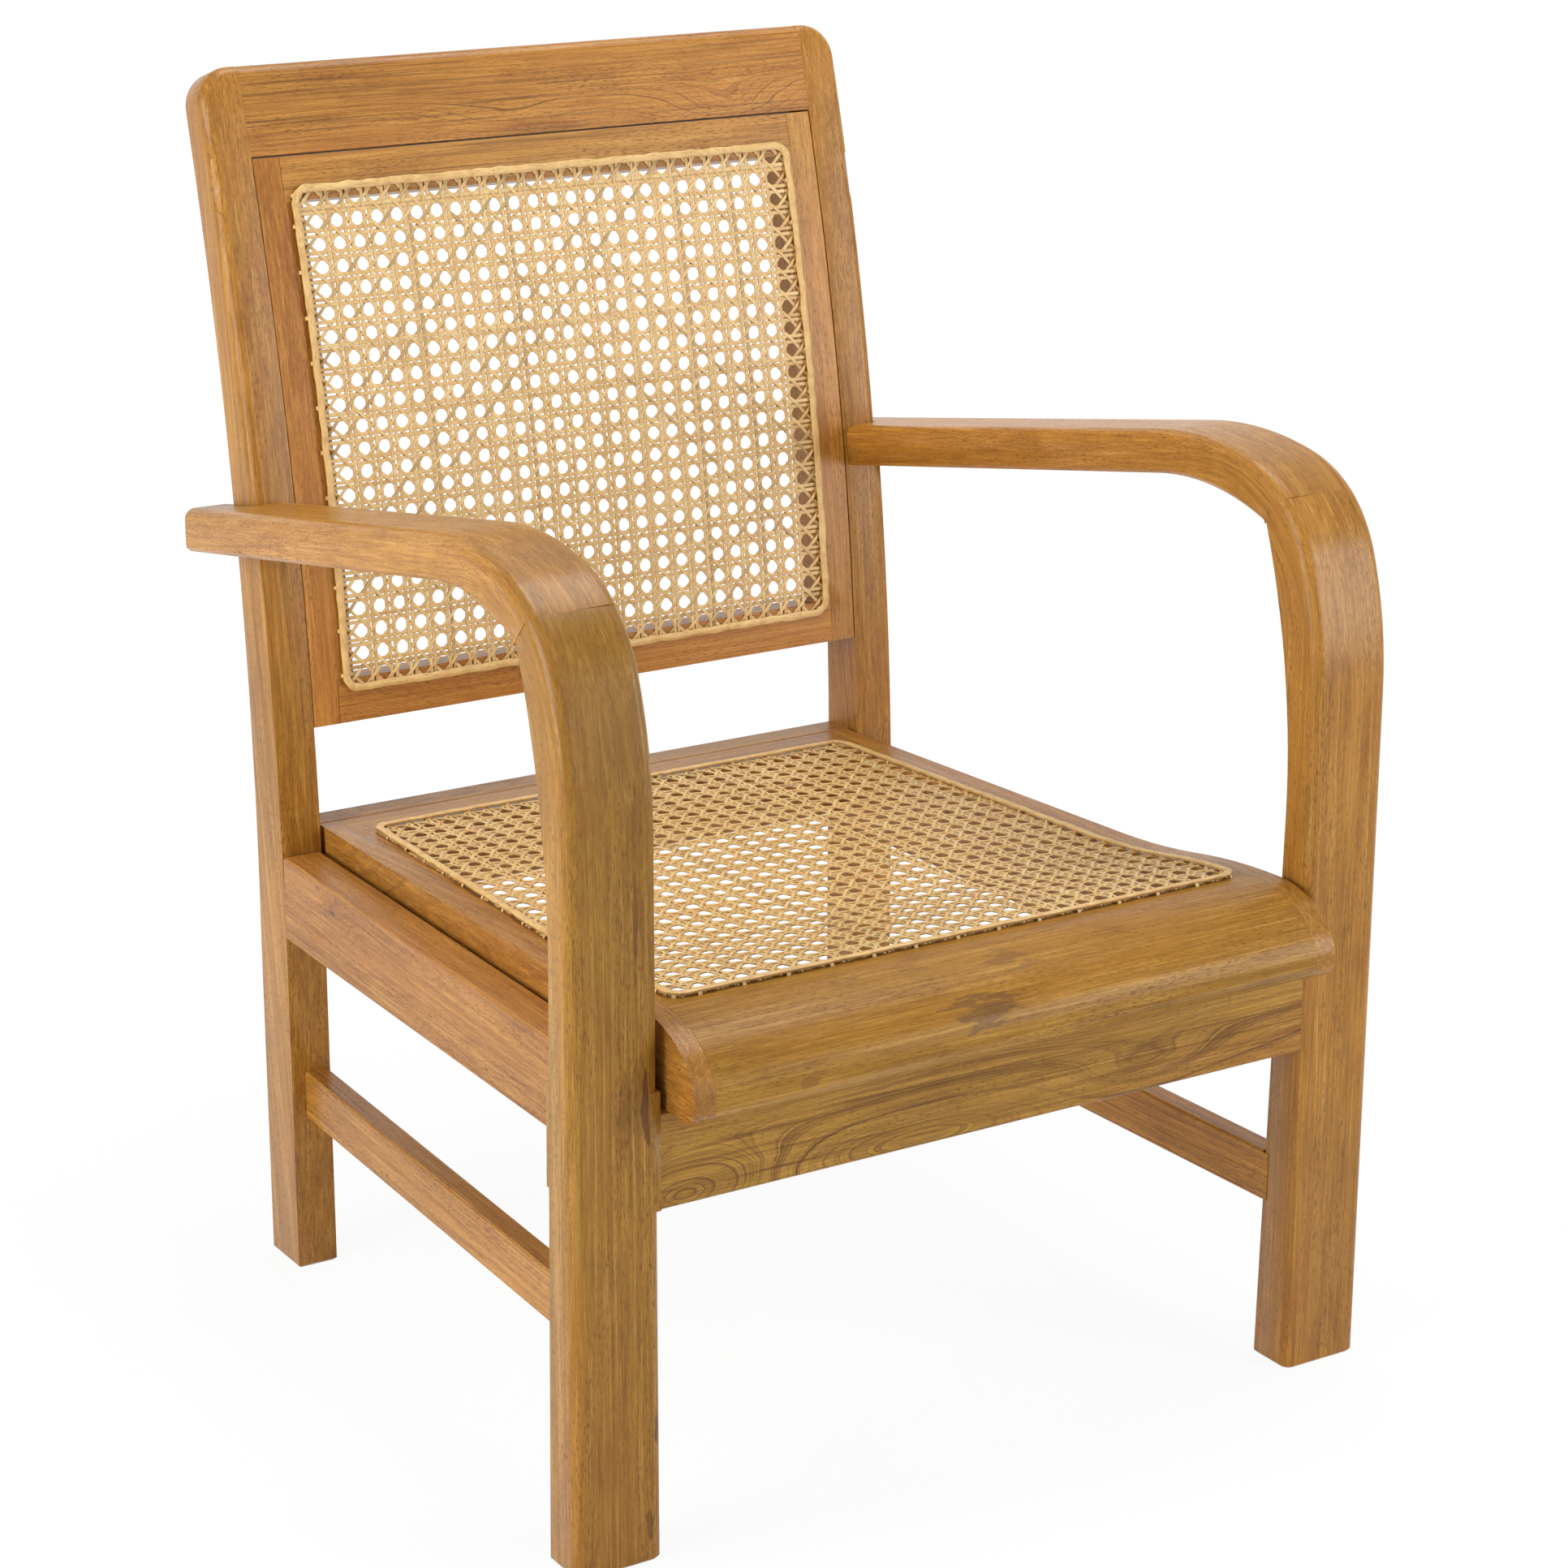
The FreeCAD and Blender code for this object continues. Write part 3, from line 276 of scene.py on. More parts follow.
# Each wood's own tone, that of its darker bands and that of its warmer ones
GOLDEN = (paint(192, 136, 58), paint(170, 114, 42), paint(194, 130, 58))
OLIVE = (paint(186, 140, 54), paint(162, 116, 38), paint(184, 126, 48))
DEEP = (paint(172, 126, 44), paint(148, 104, 32), paint(166, 114, 40))
HONEY = (paint(186, 130, 52), paint(162, 110, 36), paint(184, 124, 48))
ORANGE = (paint(192, 128, 50), paint(166, 104, 34), paint(196, 130, 54))
AMBER = (paint(172, 118, 48), paint(150, 98, 36), paint(172, 112, 46))
LIGHT_FIBRE = paint(226, 176, 92)
LINE_TONE = paint(96, 54, 16)
PORE_TONE = paint(88, 52, 20)
STAIN_TONE = paint(92, 48, 26)
CHECK_TONE = paint(70, 42, 26)

# How fine each layer of the figure is, per metre: along the grain, and twice across it
WAVES = (2.4, 8.0, 8.0)
RIPPLES = (16.0, 90.0, 90.0)
FADING = (5.0, 30.0, 30.0)
STREAKS = (7.0, 300.0, 300.0)
FIBRES = (26.0, 900.0, 900.0)
HAIRLINES = (6.0, 560.0, 560.0)
PORES = (210.0, 1500.0, 1500.0)
PORE_GROUPS = (7.0, 60.0, 60.0)
BROAD_BANDS = (3.0, 22.0, 22.0)
WARM_BANDS = (2.0, 12.0, 12.0)
MOTTLING = (22.0, 60.0, 60.0)
RAGGEDNESS = (30.0, 150.0, 150.0)

# How far the waves and the ripples move the rings, in metres
SWAY = 0.06
SHAKE = 0.0022
# A ring's dark line fades from its start, and comes back at its end
LATE_WOOD = (
    (0.0, 1.0), (0.06, 0.85), (0.15, 0.3), (0.5, 0.06), (0.88, 0.0), (0.97, 0.5), (1.0, 1.0))
FINE_LINES = ((0.0, 0.8), (0.25, 0.0), (0.8, 0.0), (1.0, 0.8))
# Each piece starts somewhere between these places along its grain
GRAIN_STARTS = (2, 9)

# Where the rings swell round a knot: its place, reach in the grain's own space, and rings
CREST_KNOTS = (
    ((-0.03, 0.30, 0.818), (0.055, 0.012, 0.05), 3.0),
    ((0.16, 0.31, 0.812), (0.075, 0.02, 0.05), 7.0),
)
APRON_KNOTS = (
    ((-0.235, -0.301, 0.245), (0.07, 0.028, 0.05), 5.5),
    ((-0.06, -0.301, 0.246), (0.09, 0.016, 0.05), -2.0),
    ((0.12, -0.301, 0.256), (0.07, 0.018, 0.05), 2.0),
)
LEFT_LEG_KNOTS = (((-0.305, -0.301, 0.43), (0.14, 0.022, 0.05), 3.0),)
RIGHT_ARM_KNOTS = (((0.255, -0.17, 0.615), (0.055, 0.03, 0.010), 5.0),)

# Stains, checks, places of another tone, and one painted sheen: place, size, tone and depth
DEEP_BEND = (((-0.285, -0.27, 0.56), (0.25, 0.25, 0.3), paint(126, 84, 26), 0.3),)
DEEP_FOOT = (((0.285, -0.29, 0.1), (0.2, 0.2, 0.3), paint(130, 92, 50), 0.25),)
PALE_RAIL = (((0.1, 0.24, 0.31), (0.7, 0.3, 0.3), paint(230, 180, 112), 0.3),)
LEFT_LEG_STAINS_AND_SHEEN = (
    ((-0.262, -0.301, 0.315), (0.007, 0.03, 0.075), STAIN_TONE, 0.75),
    ((-0.268, -0.301, 0.43), (0.0045, 0.03, 0.09), STAIN_TONE, 0.5),
    ((-0.255, -0.301, 0.09), (0.006, 0.03, 0.05), STAIN_TONE, 0.7),
    ((-0.262, -0.301, 0.03), (0.008, 0.03, 0.03), STAIN_TONE, 0.6),
    # Painted sheen: the leg's whole outer side is made paler, the way grazing light off the
    # lacquer brightens it
    ((-0.318, -0.28, 0.25), (0.006, 0.08, 0.6), paint(244, 184, 100), 0.85),
) + DEEP_BEND
ROLL_STAINS = (
    ((-0.03, -0.325, 0.335), (0.07, 0.06, 0.03), paint(98, 66, 42), 0.55),
    ((0.005, -0.30, 0.352), (0.05, 0.03, 0.02), paint(120, 80, 40), 0.5),
    ((-0.165, -0.337, 0.318), (0.025, 0.02, 0.012), paint(116, 78, 44), 0.45),
)
LEFT_APRON_CHECKS = (
    ((-0.262, 0.13, 0.305), (0.02, 0.014, 0.0035), CHECK_TONE, 0.8),
    ((-0.262, 0.155, 0.316), (0.02, 0.012, 0.0035), CHECK_TONE, 0.7),
)

ACROSS = (1.0, 0.0, 0.0)
UPWARD = (0.0, 0.0, 1.0)
LEANING = (0.0, 0.13, 1.0)
FORWARD = (0.0, -1.0, 0.0)


class Grain:
    """A piece's own space: X runs along it and Z comes out of its best face."""

    def __init__(self, name, centre, along, out, pith):
        lengthways = Vector(along).normalized()
        face = Vector(out)
        face = (face - lengthways * face.dot(lengthways)).normalized()
        self.turn = Matrix((lengthways, face.cross(lengthways), face))
        start = Vector((random.Random(name).uniform(*GRAIN_STARTS), pith[0], pith[1]))
        self.offset = start - self.turn @ centre

    def point(self, place):
        return self.turn @ Vector(place) + self.offset

    def space(self, finish, place):
        return finish.node("ShaderNodeMapping", {"vector_type": "POINT"}, {
            "Vector": place, "Location": self.offset, "Rotation": self.turn.to_euler("XYZ")})


class BentGrain:
    """The space of a leg or an arm: up the leg, round the bend and back along the arm."""

    RADIUS = 0.10
    CENTRE = Vector((0.0, -0.185, 0.52))
    WHOLE_TURN = math.radians(100)

    def __init__(self, name, middle_x, pith):
        start = random.Random(name).uniform(*GRAIN_STARTS)
        self.shift = Vector((start, pith[0] - middle_x, pith[1] - self.RADIUS))

    def point(self, place):
        x, y, z = Vector(place) - self.CENTRE
        turn = min(max(math.atan2(z, -y), 0.0), self.WHOLE_TURN)
        along = self.RADIUS * turn + y * math.sin(turn) + z * math.cos(turn)
        return Vector((along, x, z * math.sin(turn) - y * math.cos(turn))) + self.shift

    def space(self, finish, place):
        moved = finish.vector("SUBTRACT", place, self.CENTRE)
        x, y, z = finish.outputs("ShaderNodeSeparateXYZ", "XYZ", {0: moved})
        angle = finish.maths("ARCTAN2", z, y * -1)
        limits = {"Value": angle, "Min": 0.0, "Max": self.WHOLE_TURN}
        turn = finish.node("ShaderNodeClamp", inputs=limits)
        sine = finish.maths("SINE", turn)
        cosine = finish.maths("COSINE", turn)
        along = turn * self.RADIUS + y * sine + z * cosine
        unrolled = {0: along, 1: x, 2: z * sine - y * cosine}
        spot = finish.node("ShaderNodeCombineXYZ", inputs=unrolled)
        return finish.vector("ADD", spot, self.shift)


@dataclass
class Board:
    """A piece of wood: the way of its grain and best face, where the pith lies, and its marks."""

    node: str
    along: tuple
    out: tuple
    pith: tuple
    tones: tuple
    ring: float = 0.007
    figure: float = 1.0
    lines: float = 0.6
    cloud: float = 0.3
    knots: tuple = ()
    stains_and_sheen: tuple = ()
    body: str = "frame"
    coat: float = 0.27

    def grain(self):
        if is_bent(self.node):
            return BentGrain(self.node, middle(self.node).x, self.pith)
        return Grain(self.node, middle(self.node), self.along, self.out, self.pith)


def middle(node):
    """The centre of a CAD node's box."""
    low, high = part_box(node)
    return (low + high) / 2


def is_bent(node):
    return node.startswith(("front_leg", "arm"))


def year_rings(finish, grain, own, board):
    """How many rings a place is from the pith, which lies beside the piece."""
    half = (0.5, 0.5, 0.5)
    waves = finish.vector("SUBTRACT", finish.noise(own, WAVES, 2.0, 0.45, "Color"), half)
    ripples = finish.vector("SUBTRACT", finish.noise(own, RIPPLES, 2.0, 0.5, "Color"), half)
    sway = finish.vector("MULTIPLY", waves, (0.0, SWAY * board.figure, SWAY * board.figure))
    shake = finish.vector("MULTIPLY", ripples, (0.0, SHAKE, SHAKE))
    across = finish.vector("MULTIPLY", own, (0.0, 1.0, 1.0))
    radius = finish.length(finish.vector("ADD", finish.vector("ADD", across, sway), shake))
    for spot, reach, height in board.knots:
        toward = finish.vector("DIVIDE", finish.vector("SUBTRACT", own, grain.point(spot)), reach)
        both = {0: toward, 1: toward}
        square = finish.node("ShaderNodeVectorMath", {"operation": "DOT_PRODUCT"}, both, "Value")
        radius = radius + finish.maths("EXPONENT", square * -1) * (height * board.ring)
    even = radius / board.ring
    slowly = {"W": even * 0.7, "Detail": 1.0}
    uneven = finish.node("ShaderNodeTexNoise", {"noise_dimensions": "1D"}, slowly)
    return even + uneven * 1.6


def wood(name, grain, board):
    """Lacquered wood with rings, bands, fibres, hairlines, pores and stains, and painted sheen
    where a board lists it among its patches.
    """
    finish = Finish(name)
    place = finish.node("ShaderNodeTexCoord", output="Object")
    own = grain.space(finish, place)

    rings = year_rings(finish, grain, own, board)
    number = {"W": finish.maths("FLOOR", rings)}
    own_depth = finish.node("ShaderNodeTexWhiteNoise", {"noise_dimensions": "1D"}, number)
    fade = finish.ramp(finish.noise(own, FADING, 2.0), (0.36, 0.35), (0.58, 1.0))
    late = finish.ramp(finish.maths("FRACT", rings), *LATE_WOOD)
    late = late * (own_depth * 0.6 + 0.5) * fade
    fine = finish.ramp(finish.maths("FRACT", rings * 3.3), *FINE_LINES) * fade

    streaks = finish.noise(own, STREAKS, 3.0, 0.6)
    fibres = finish.noise(own, FIBRES, 2.0, 0.6)
    hairs = finish.ramp(finish.noise(own, HAIRLINES, 1.0), (0.58, 0.0), (0.66, 1.0))
    pores = finish.ramp(finish.noise(own, PORES, 0.0), (0.6, 0.0), (0.66, 1.0))
    dense = finish.ramp(finish.noise(own, PORE_GROUPS, 2.0), (0.38, 0.3), (0.62, 1.0))
    broad = finish.ramp(finish.noise(own, BROAD_BANDS, 3.0, 0.55), (0.36, 0.0), (0.66, 1.0))
    warm = finish.ramp(finish.noise(own, WARM_BANDS, 1.0), (0.44, 0.0), (0.66, 0.85))
    mottle = finish.ramp(finish.noise(own, MOTTLING, 4.0, 0.6), (0.48, 0.0), (0.72, board.cloud))
    dark_streaks = finish.ramp(streaks, (0.5, 0.0), (0.72, 0.5)) * (0.3 + 0.6 * board.lines)

    tone, darker, warmer = board.tones
    colour = finish.mixed(broad, tone, darker)
    colour = finish.mixed(warm, colour, warmer)
    colour = finish.mixed(mottle, colour, darker, "MULTIPLY")
    for share, mark in (
            (finish.ramp(streaks, (0.3, 0.3), (0.48, 0.0)), LIGHT_FIBRE),
            (dark_streaks, LINE_TONE),
            (finish.ramp(fibres, (0.30, 0.26), (0.48, 0.0)), LINE_TONE),
            (finish.ramp(fibres, (0.54, 0.0), (0.74, 0.26)), LIGHT_FIBRE),
            (hairs * fade * (0.06 + 0.6 * board.lines), LINE_TONE),
            (late * board.lines + fine * (0.35 * board.lines), LINE_TONE),
            (pores * dense * 0.5, PORE_TONE)):
        colour = finish.mixed(share, colour, mark)
    # Patches of another tone over the wood: stains and checks, and on the left leg a painted sheen
    for spot, size, patch_tone, depth in board.stains_and_sheen:
        away = finish.vector("DIVIDE", finish.vector("SUBTRACT", place, spot), size)
        ragged = finish.noise(own, RAGGEDNESS, 4.0, 0.65)
        mask = finish.ramp(finish.length(away) + ragged * 1.3, (0.95, 1.0), (1.55, 0.0))
        colour = finish.mixed(mask * depth, colour, patch_tone)

    relief = fibres * 0.4 - pores * 0.9 - late * 0.3
    bump = {"Strength": 0.3, "Distance": 0.0002, "Height": relief}
    return finish.surface(
        Base_Color=colour,
        Roughness=0.25 + streaks * 0.16 + pores * 0.15,
        Normal=finish.node("ShaderNodeBump", inputs=bump),
        Specular_IOR_Level=0.14,
        Coat_Weight=board.coat,
        Coat_Roughness=0.3)


def merged_copy(node):
    """The CAD node's mesh with its loose triangles joined and its flat faces whole."""
    mesh = bmesh.new()
    mesh.from_mesh(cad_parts[node].data)
    bmesh.ops.remove_doubles(mesh, verts=mesh.verts, dist=MERGE_REACH)
    bmesh.ops.dissolve_limit(mesh, angle_limit=FLAT_ANGLE, verts=mesh.verts, edges=mesh.edges)
    return mesh


def finished(mesh, name, material, body, sharp_angle):
    """Turns the bmesh into a piece of the object that rides on a body."""
    data = bpy.data.meshes.new(name)
    mesh.to_mesh(data)
    mesh.free()
    data.shade_smooth()
    data.set_sharp_from_angle(angle=sharp_angle)
    piece = bpy.data.objects.new(name, data)
    bpy.context.scene.collection.objects.link(piece)
    data.materials.append(material)
    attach(piece, body)
    return piece


class BendView:
    """The outer outline of leg and arm, seen from the side."""

    def __init__(self):
        self.whole_turn = math.pi / 2 + math.atan(ARM_SLOPE)
        self.arcs = []
        y = z = angle = 0.0
        for radius, share in zip(BEND_RADII, BEND_SHARES):
            y += radius * math.cos(angle)
            z -= radius * math.sin(angle)
            end = angle + self.whole_turn * share
            self.arcs.append([y, z, radius, angle, end])
            angle = end
            y -= radius * math.cos(angle)
            z += radius * math.sin(angle)
        lift = ARM_TOP_Z - ARM_SLOPE * (y - ARM_TOP_Y) - z
        for row in self.arcs:
            row[1] += lift

    def outward(self, y, z):
        """The depth under the outline, and the way out of it."""
        if z < self.arcs[0][1]:
            return y, -1.0, 0.0
        for centre_y, centre_z, radius, start, end in self.arcs:
            angle = math.atan2(z - centre_z, centre_y - y)
            if start <= angle <= end:
                depth = radius - math.hypot(z - centre_z, y - centre_y)
                return depth, -math.cos(angle), math.sin(angle)
        top = ARM_TOP_Z - ARM_SLOPE * (y - ARM_TOP_Y)
        out_y, out_z = -math.cos(self.whole_turn), math.sin(self.whole_turn)
        return (top - z) * out_z, out_y, out_z


class PostView:
    """The front of a rear post above its bend, seen from the side."""

    def __init__(self, front):
        self.axis_y = front + BACK_RADIUS

    def outward(self, y, z):
        """The depth under the front, and the way out of it."""
        if not BACK_BEND_HEIGHT < z < CORNER_BASE:
            return 1.0, -1.0, 0.0
        reach = math.hypot(z - BACK_BEND_HEIGHT, self.axis_y - y)
        return BACK_RADIUS - reach, (y - self.axis_y) / reach, (z - BACK_BEND_HEIGHT) / reach


def truly_shaded(data, view, centre_x, half_width, rounding, splay=0.0):
    """Shades a piece as the smooth shape that the facets of its rounded edges stand for."""
    legs_front = Vector((0.0, LEGS_FRONT, 0.0))
    knee = Vector((centre_x, KNEE_DEPTH, 0.0))
    turn = Matrix.Rotation(splay, 3, "Z")
    back = turn.transposed()
    normals = [(0.0, 0.0, 0.0)] * len(data.loops)
    for face in data.polygons:
        for index in face.loop_indices:
            place = data.vertices[data.loops[index].vertex_index].co - legs_front
            x, y, z = back @ (place - knee) + knee
            depth, out_y, out_z = view.outward(y, z)
            side = (rounding - half_width + abs(x - centre_x)) / rounding
            side = min(max(side, 0.0), 1.0)
            flat = math.sqrt(1.0 - side * side)
            out_x = math.copysign(side, x - centre_x)
            true = turn @ Vector((out_x, flat * out_y, flat * out_z))
            if depth < rounding + ROUND_SLACK and true.dot(face.normal) > SAME_WAY:
                normals[index] = true
    data.normals_split_custom_set(normals)


def eased(node, along, material, body):
    """A wooden piece on its CAD solid, with the edges along its length softened."""
    mesh = merged_copy(node)
    lengthways = Vector(along).normalized()
    sharp = []
    for edge in mesh.edges:
        if not edge.is_manifold or edge.calc_face_angle_signed() < ARRIS_ANGLE:
            continue
        run = (edge.verts[1].co - edge.verts[0].co).normalized()
        if abs(run.dot(lengthways)) > ARRIS_LENGTHWAYS:
            sharp.append(edge)
    bmesh.ops.bevel(
        mesh, geom=sharp, offset=ARRIS, offset_type="OFFSET", affect="EDGES", segments=3,
        profile=0.5, clamp_overlap=True, material=-1)
    piece = finished(mesh, "wood_" + node, material, body, WOOD_SHARP_ANGLE)
    if is_bent(node):
        centre_x = middle("front_leg_" + node.split("_")[-1]).x
        splay = math.atan(SIDE_SPLAY) if node.startswith("arm") else 0.0
        splay = math.copysign(splay, centre_x)
        truly_shaded(piece.data, BendView(), centre_x, LEG_HALF_WIDTH, LEG_ROUND, splay)
    elif node.startswith("rear_post"):
        low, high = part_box(node)
        view = PostView(low.y - LEGS_FRONT)
        truly_shaded(piece.data, view, middle(node).x, (high.x - low.x) / 2, POST_ROUND)
    else:
        weighted = piece.modifiers.new("flats", "WEIGHTED_NORMAL")
        weighted.keep_sharp = True
        weighted.mode = "FACE_AREA_WITH_ANGLE"
    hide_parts(node)


def middle_boards():
    """The boards that stand or lie between the two sides."""
    return [
        Board("crest_rail", ACROSS, FORWARD, (0.05, -0.05), GOLDEN, 0.0034, 0.5, 0.72,
              knots=CREST_KNOTS),
        Board("rear_seat_rail", ACROSS, FORWARD, (0.08, -0.03), GOLDEN, 0.005, 0.6, 0.4,
              stains_and_sheen=PALE_RAIL),
        Board("front_apron", ACROSS, FORWARD, (0.03, -0.045), OLIVE, 0.0085, 0.8, 0.85,
              knots=APRON_KNOTS),
        Board("back_panel_top_rail", ACROSS, FORWARD, (0.09, -0.02), GOLDEN, 0.005, 0.4, 0.5, 0.2),
        Board("back_panel_bottom_rail", ACROSS, FORWARD, (-0.09, -0.03), ORANGE, 0.006, 0.5, 0.3,
              0.2),
        Board("back_panel_stile_left", LEANING, FORWARD, (0.07, -0.02), ORANGE, 0.005, 0.4, 0.4,
              0.2),
        Board("back_panel_stile_right", LEANING, FORWARD, (-0.07, -0.02), GOLDEN, 0.005, 0.4, 0.3,
              0.2),
        Board("seat_front_roll", ACROSS, UPWARD, (0.02, -0.11), DEEP, 0.016, 1.1, 0.06, 0.35,
              stains_and_sheen=ROLL_STAINS, body="seat", coat=0.12),
        Board("seat_back_rail", ACROSS, UPWARD, (0.08, -0.02), HONEY, 0.005, 0.5, 0.5,
              body="seat"),
        Board("seat_rail_left", (-SIDE_SPLAY, 1.0, 0.0), UPWARD, (0.08, -0.02), AMBER, 0.005, 0.4,
              0.4, body="seat"),
        Board("seat_rail_right", (SIDE_SPLAY, 1.0, 0.0), UPWARD, (0.08, -0.03), HONEY, 0.005, 0.4,
              0.4, body="seat"),
        Board("seat_bearer_rear", ACROSS, FORWARD, (0.05, -0.05), OLIVE, 0.006, 0.7, 0.4),
    ]


def side_boards(hand, side):
    """The boards of one side, on the left for hand -1 and on the right for hand 1."""
    left = hand < 0
    splayed = (-hand * SIDE_SPLAY, 1.0, 0.0)
    armwise = (-hand * SIDE_SPLAY, 1.0, -ARM_SLOPE)
    outward = (hand, 0.0, 0.0)
    return [
        Board("rear_post_" + side, LEANING, FORWARD, (0.06 * hand, -0.05), HONEY, 0.006, 0.6, 0.4),
        Board("front_leg_" + side, UPWARD, FORWARD, (0.05 * hand, -0.06), DEEP if left else HONEY,
              0.007, 0.7, 0.25, knots=LEFT_LEG_KNOTS if left else (),
              stains_and_sheen=LEFT_LEG_STAINS_AND_SHEEN if left else DEEP_FOOT),
        Board("arm_" + side, armwise, UPWARD, (0.05, -0.07), HONEY, 0.009, 0.9, 0.22,
              knots=() if left else RIGHT_ARM_KNOTS, stains_and_sheen=DEEP_BEND if left else ()),
        Board("side_apron_" + side, splayed, outward, (0.02, -0.07), AMBER, 0.006, 0.8, 0.4,
              stains_and_sheen=LEFT_APRON_CHECKS if left else ()),
        Board("side_stretcher_" + side, splayed, outward, (0.07, -0.04),
              GOLDEN if left else HONEY, 0.005, 0.5, 0.5),
        Board("seat_bearer_" + side, splayed, outward, (0.07, -0.04), OLIVE, 0.006, 0.6, 0.4),
    ]


def wooden_pieces():
    """Every visible board, with its own grain and tone."""
    for board in middle_boards() + side_boards(-1.0, "left") + side_boards(1.0, "right"):
        material = wood(board.node + "_wood", board.grain(), board)
        eased(board.node, board.along, material, board.body)


def raw_wood():
    """The bare wood of the tongues and pins inside the joints."""
    board = Board("tongues", ACROSS, UPWARD, (0.05, 0.05), GOLDEN)
    grain = Grain(board.node, Vector((0.0, 0.0, 0.0)), board.along, board.out, board.pith)
    material = wood("tongue_wood", grain, board)
    for node in ("mitre_tongues", "arm_tongues", "panel_tongues", "bearer_pins"):
        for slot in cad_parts[node].material_slots:
            slot.material = material


# Cane


STRAW = (paint(238, 206, 142), paint(222, 182, 112), paint(202, 158, 92))
BLUSH_TONE = paint(224, 170, 112)
GREEN_TONE = paint(134, 118, 82)
CANE_FIBRE = paint(150, 104, 58)
# Painted shade: the tone that each strand darkens to at its edges, where it meets its neighbours
EDGE_SHADE_TONE = paint(132, 92, 52)
# Brings the distance from a strand's middle, in metres, to about 1 at its edge, where the painted
# shade is darkest
EDGE_SHADE_SCALE = 700


def cane_finish(name):
    """Split cane: fine lengthways fibres, a tone of its own for each strand, and painted shade
    along each strand's edges.
    """
    finish = Finish(name)
    layer = {"attribute_name": STRAND_LAYER}
    strand = finish.node("ShaderNodeAttribute", layer, output="Vector")
    aside, own_tone = finish.outputs("ShaderNodeSeparateXYZ", "YZ", {0: strand})
    fibres = finish.noise(strand, (45.0, 2600.0, 31.0), 3.0, 0.6)
    patches = finish.noise(strand, (36.0, 90.0, 17.0), 2.0, 0.5)
    blush = finish.noise(strand, (14.0, 30.0, 53.0), 1.0)
    rare = finish.ramp(own_tone, (0.92, 0.0), (0.96, 0.6))
    # Painted shade: each strand grows darker towards its edges, as if shaded by the strands beside
    # it
    edge_shade = finish.maths("ABSOLUTE", aside) * EDGE_SHADE_SCALE

    colour = finish.mixed(own_tone, STRAW[0], STRAW[1])
    for share, mark in (
            (finish.ramp(patches, (0.46, 0.0), (0.68, 0.7)), STRAW[2]),
            (finish.ramp(blush, (0.52, 0.0), (0.68, 0.4)), BLUSH_TONE),
            (rare * patches * 1.4, GREEN_TONE),
            (finish.ramp(fibres, (0.32, 0.5), (0.52, 0.0)), CANE_FIBRE),
            (finish.ramp(edge_shade, (0.62, 0.0), (0.95, 0.55)), EDGE_SHADE_TONE)):
        colour = finish.mixed(share, colour, mark)
    bump = {"Strength": 0.35, "Distance": 0.00015, "Height": fibres}
    return finish.surface(
        Base_Color=colour,
        Roughness=0.38 + fibres * 0.2,
        Normal=finish.node("ShaderNodeBump", inputs=bump),
        Coat_Weight=0.08,
        Coat_Roughness=0.3)


class Bed:
    """A curved face that cane lies on, in metres across (s) and along (t)."""

    STEP = 0.001

    def __init__(self, name, body, point, half_width, low, high, pitch, first):
        self.name = name
        self.body = body
        self.point = point
        self.half_width = half_width
        self.low = low
        self.high = high
        self.pitch = pitch
        self.first = first

    def inside(self, s, t):
        """Whether a place is within the ring of holes, whose corners are round."""
        room_s = self.half_width(t) - abs(s)
        room_t = min(t - self.low, self.high - t)
        if room_s < 0 or room_t < 0:
            return False
        if room_s > BINDER_CORNER or room_t > BINDER_CORNER:
            return True
        return math.hypot(BINDER_CORNER - room_s, BINDER_CORNER - room_t) < BINDER_CORNER

    def clipped(self, stations):
        """The stations inside the ring of holes, in one run."""
        return [row for row in stations if self.inside(row[0], row[1])]

    def place(self, s, t, lift):
        """The point at a lift over the face."""
        base = self.point(s, t)
        run_s = self.point(s + self.STEP, t) - base
        run_t = self.point(s, t + self.STEP) - base
        return base + run_s.cross(run_t).normalized() * lift

    def lattice(self, axis, low, high):
        """The numbers of the pairs of strands between two places on an axis."""
        start = math.ceil((low - self.first[axis]) / self.pitch[axis])
        end = math.floor((high - self.first[axis]) / self.pitch[axis])
        return range(start, end + 1)


def new_cane():
    """An empty mesh, and its layer for the strands' own attribute."""
    mesh = bmesh.new()
    return mesh, mesh.verts.layers.float_vector.new(STRAND_LAYER)


def lay_strand(mesh, bed, layer, stations, width, tone):
    """One strand through stations of (s, t, lift), with a domed face."""
    count = len(stations) - 1
    grid = bmesh.ops.create_grid(mesh, x_segments=count, y_segments=2, size=0.5)
    start = Vector(stations[0][:2])
    heading = (Vector(stations[-1][:2]) - start).normalized()
    aside = Vector((-heading.y, heading.x))
    rows = []
    for s, t, lift in stations:
        rows.append([
            bed.place(
                s + aside.x * width * k, t + aside.y * width * k, lift - abs(k) * STRAND_DOME)
            for k in (-0.5, 0.0, 0.5)])
    for vert in grid["verts"]:
        index = round((vert.co.x + 0.5) * count)
        k = round((vert.co.y + 0.5) * 2)
        travelled = (Vector(stations[index][:2]) - start).length
        vert.co = rows[index][k]
        vert[layer] = Vector((travelled, (k - 1) * width / 2, tone))


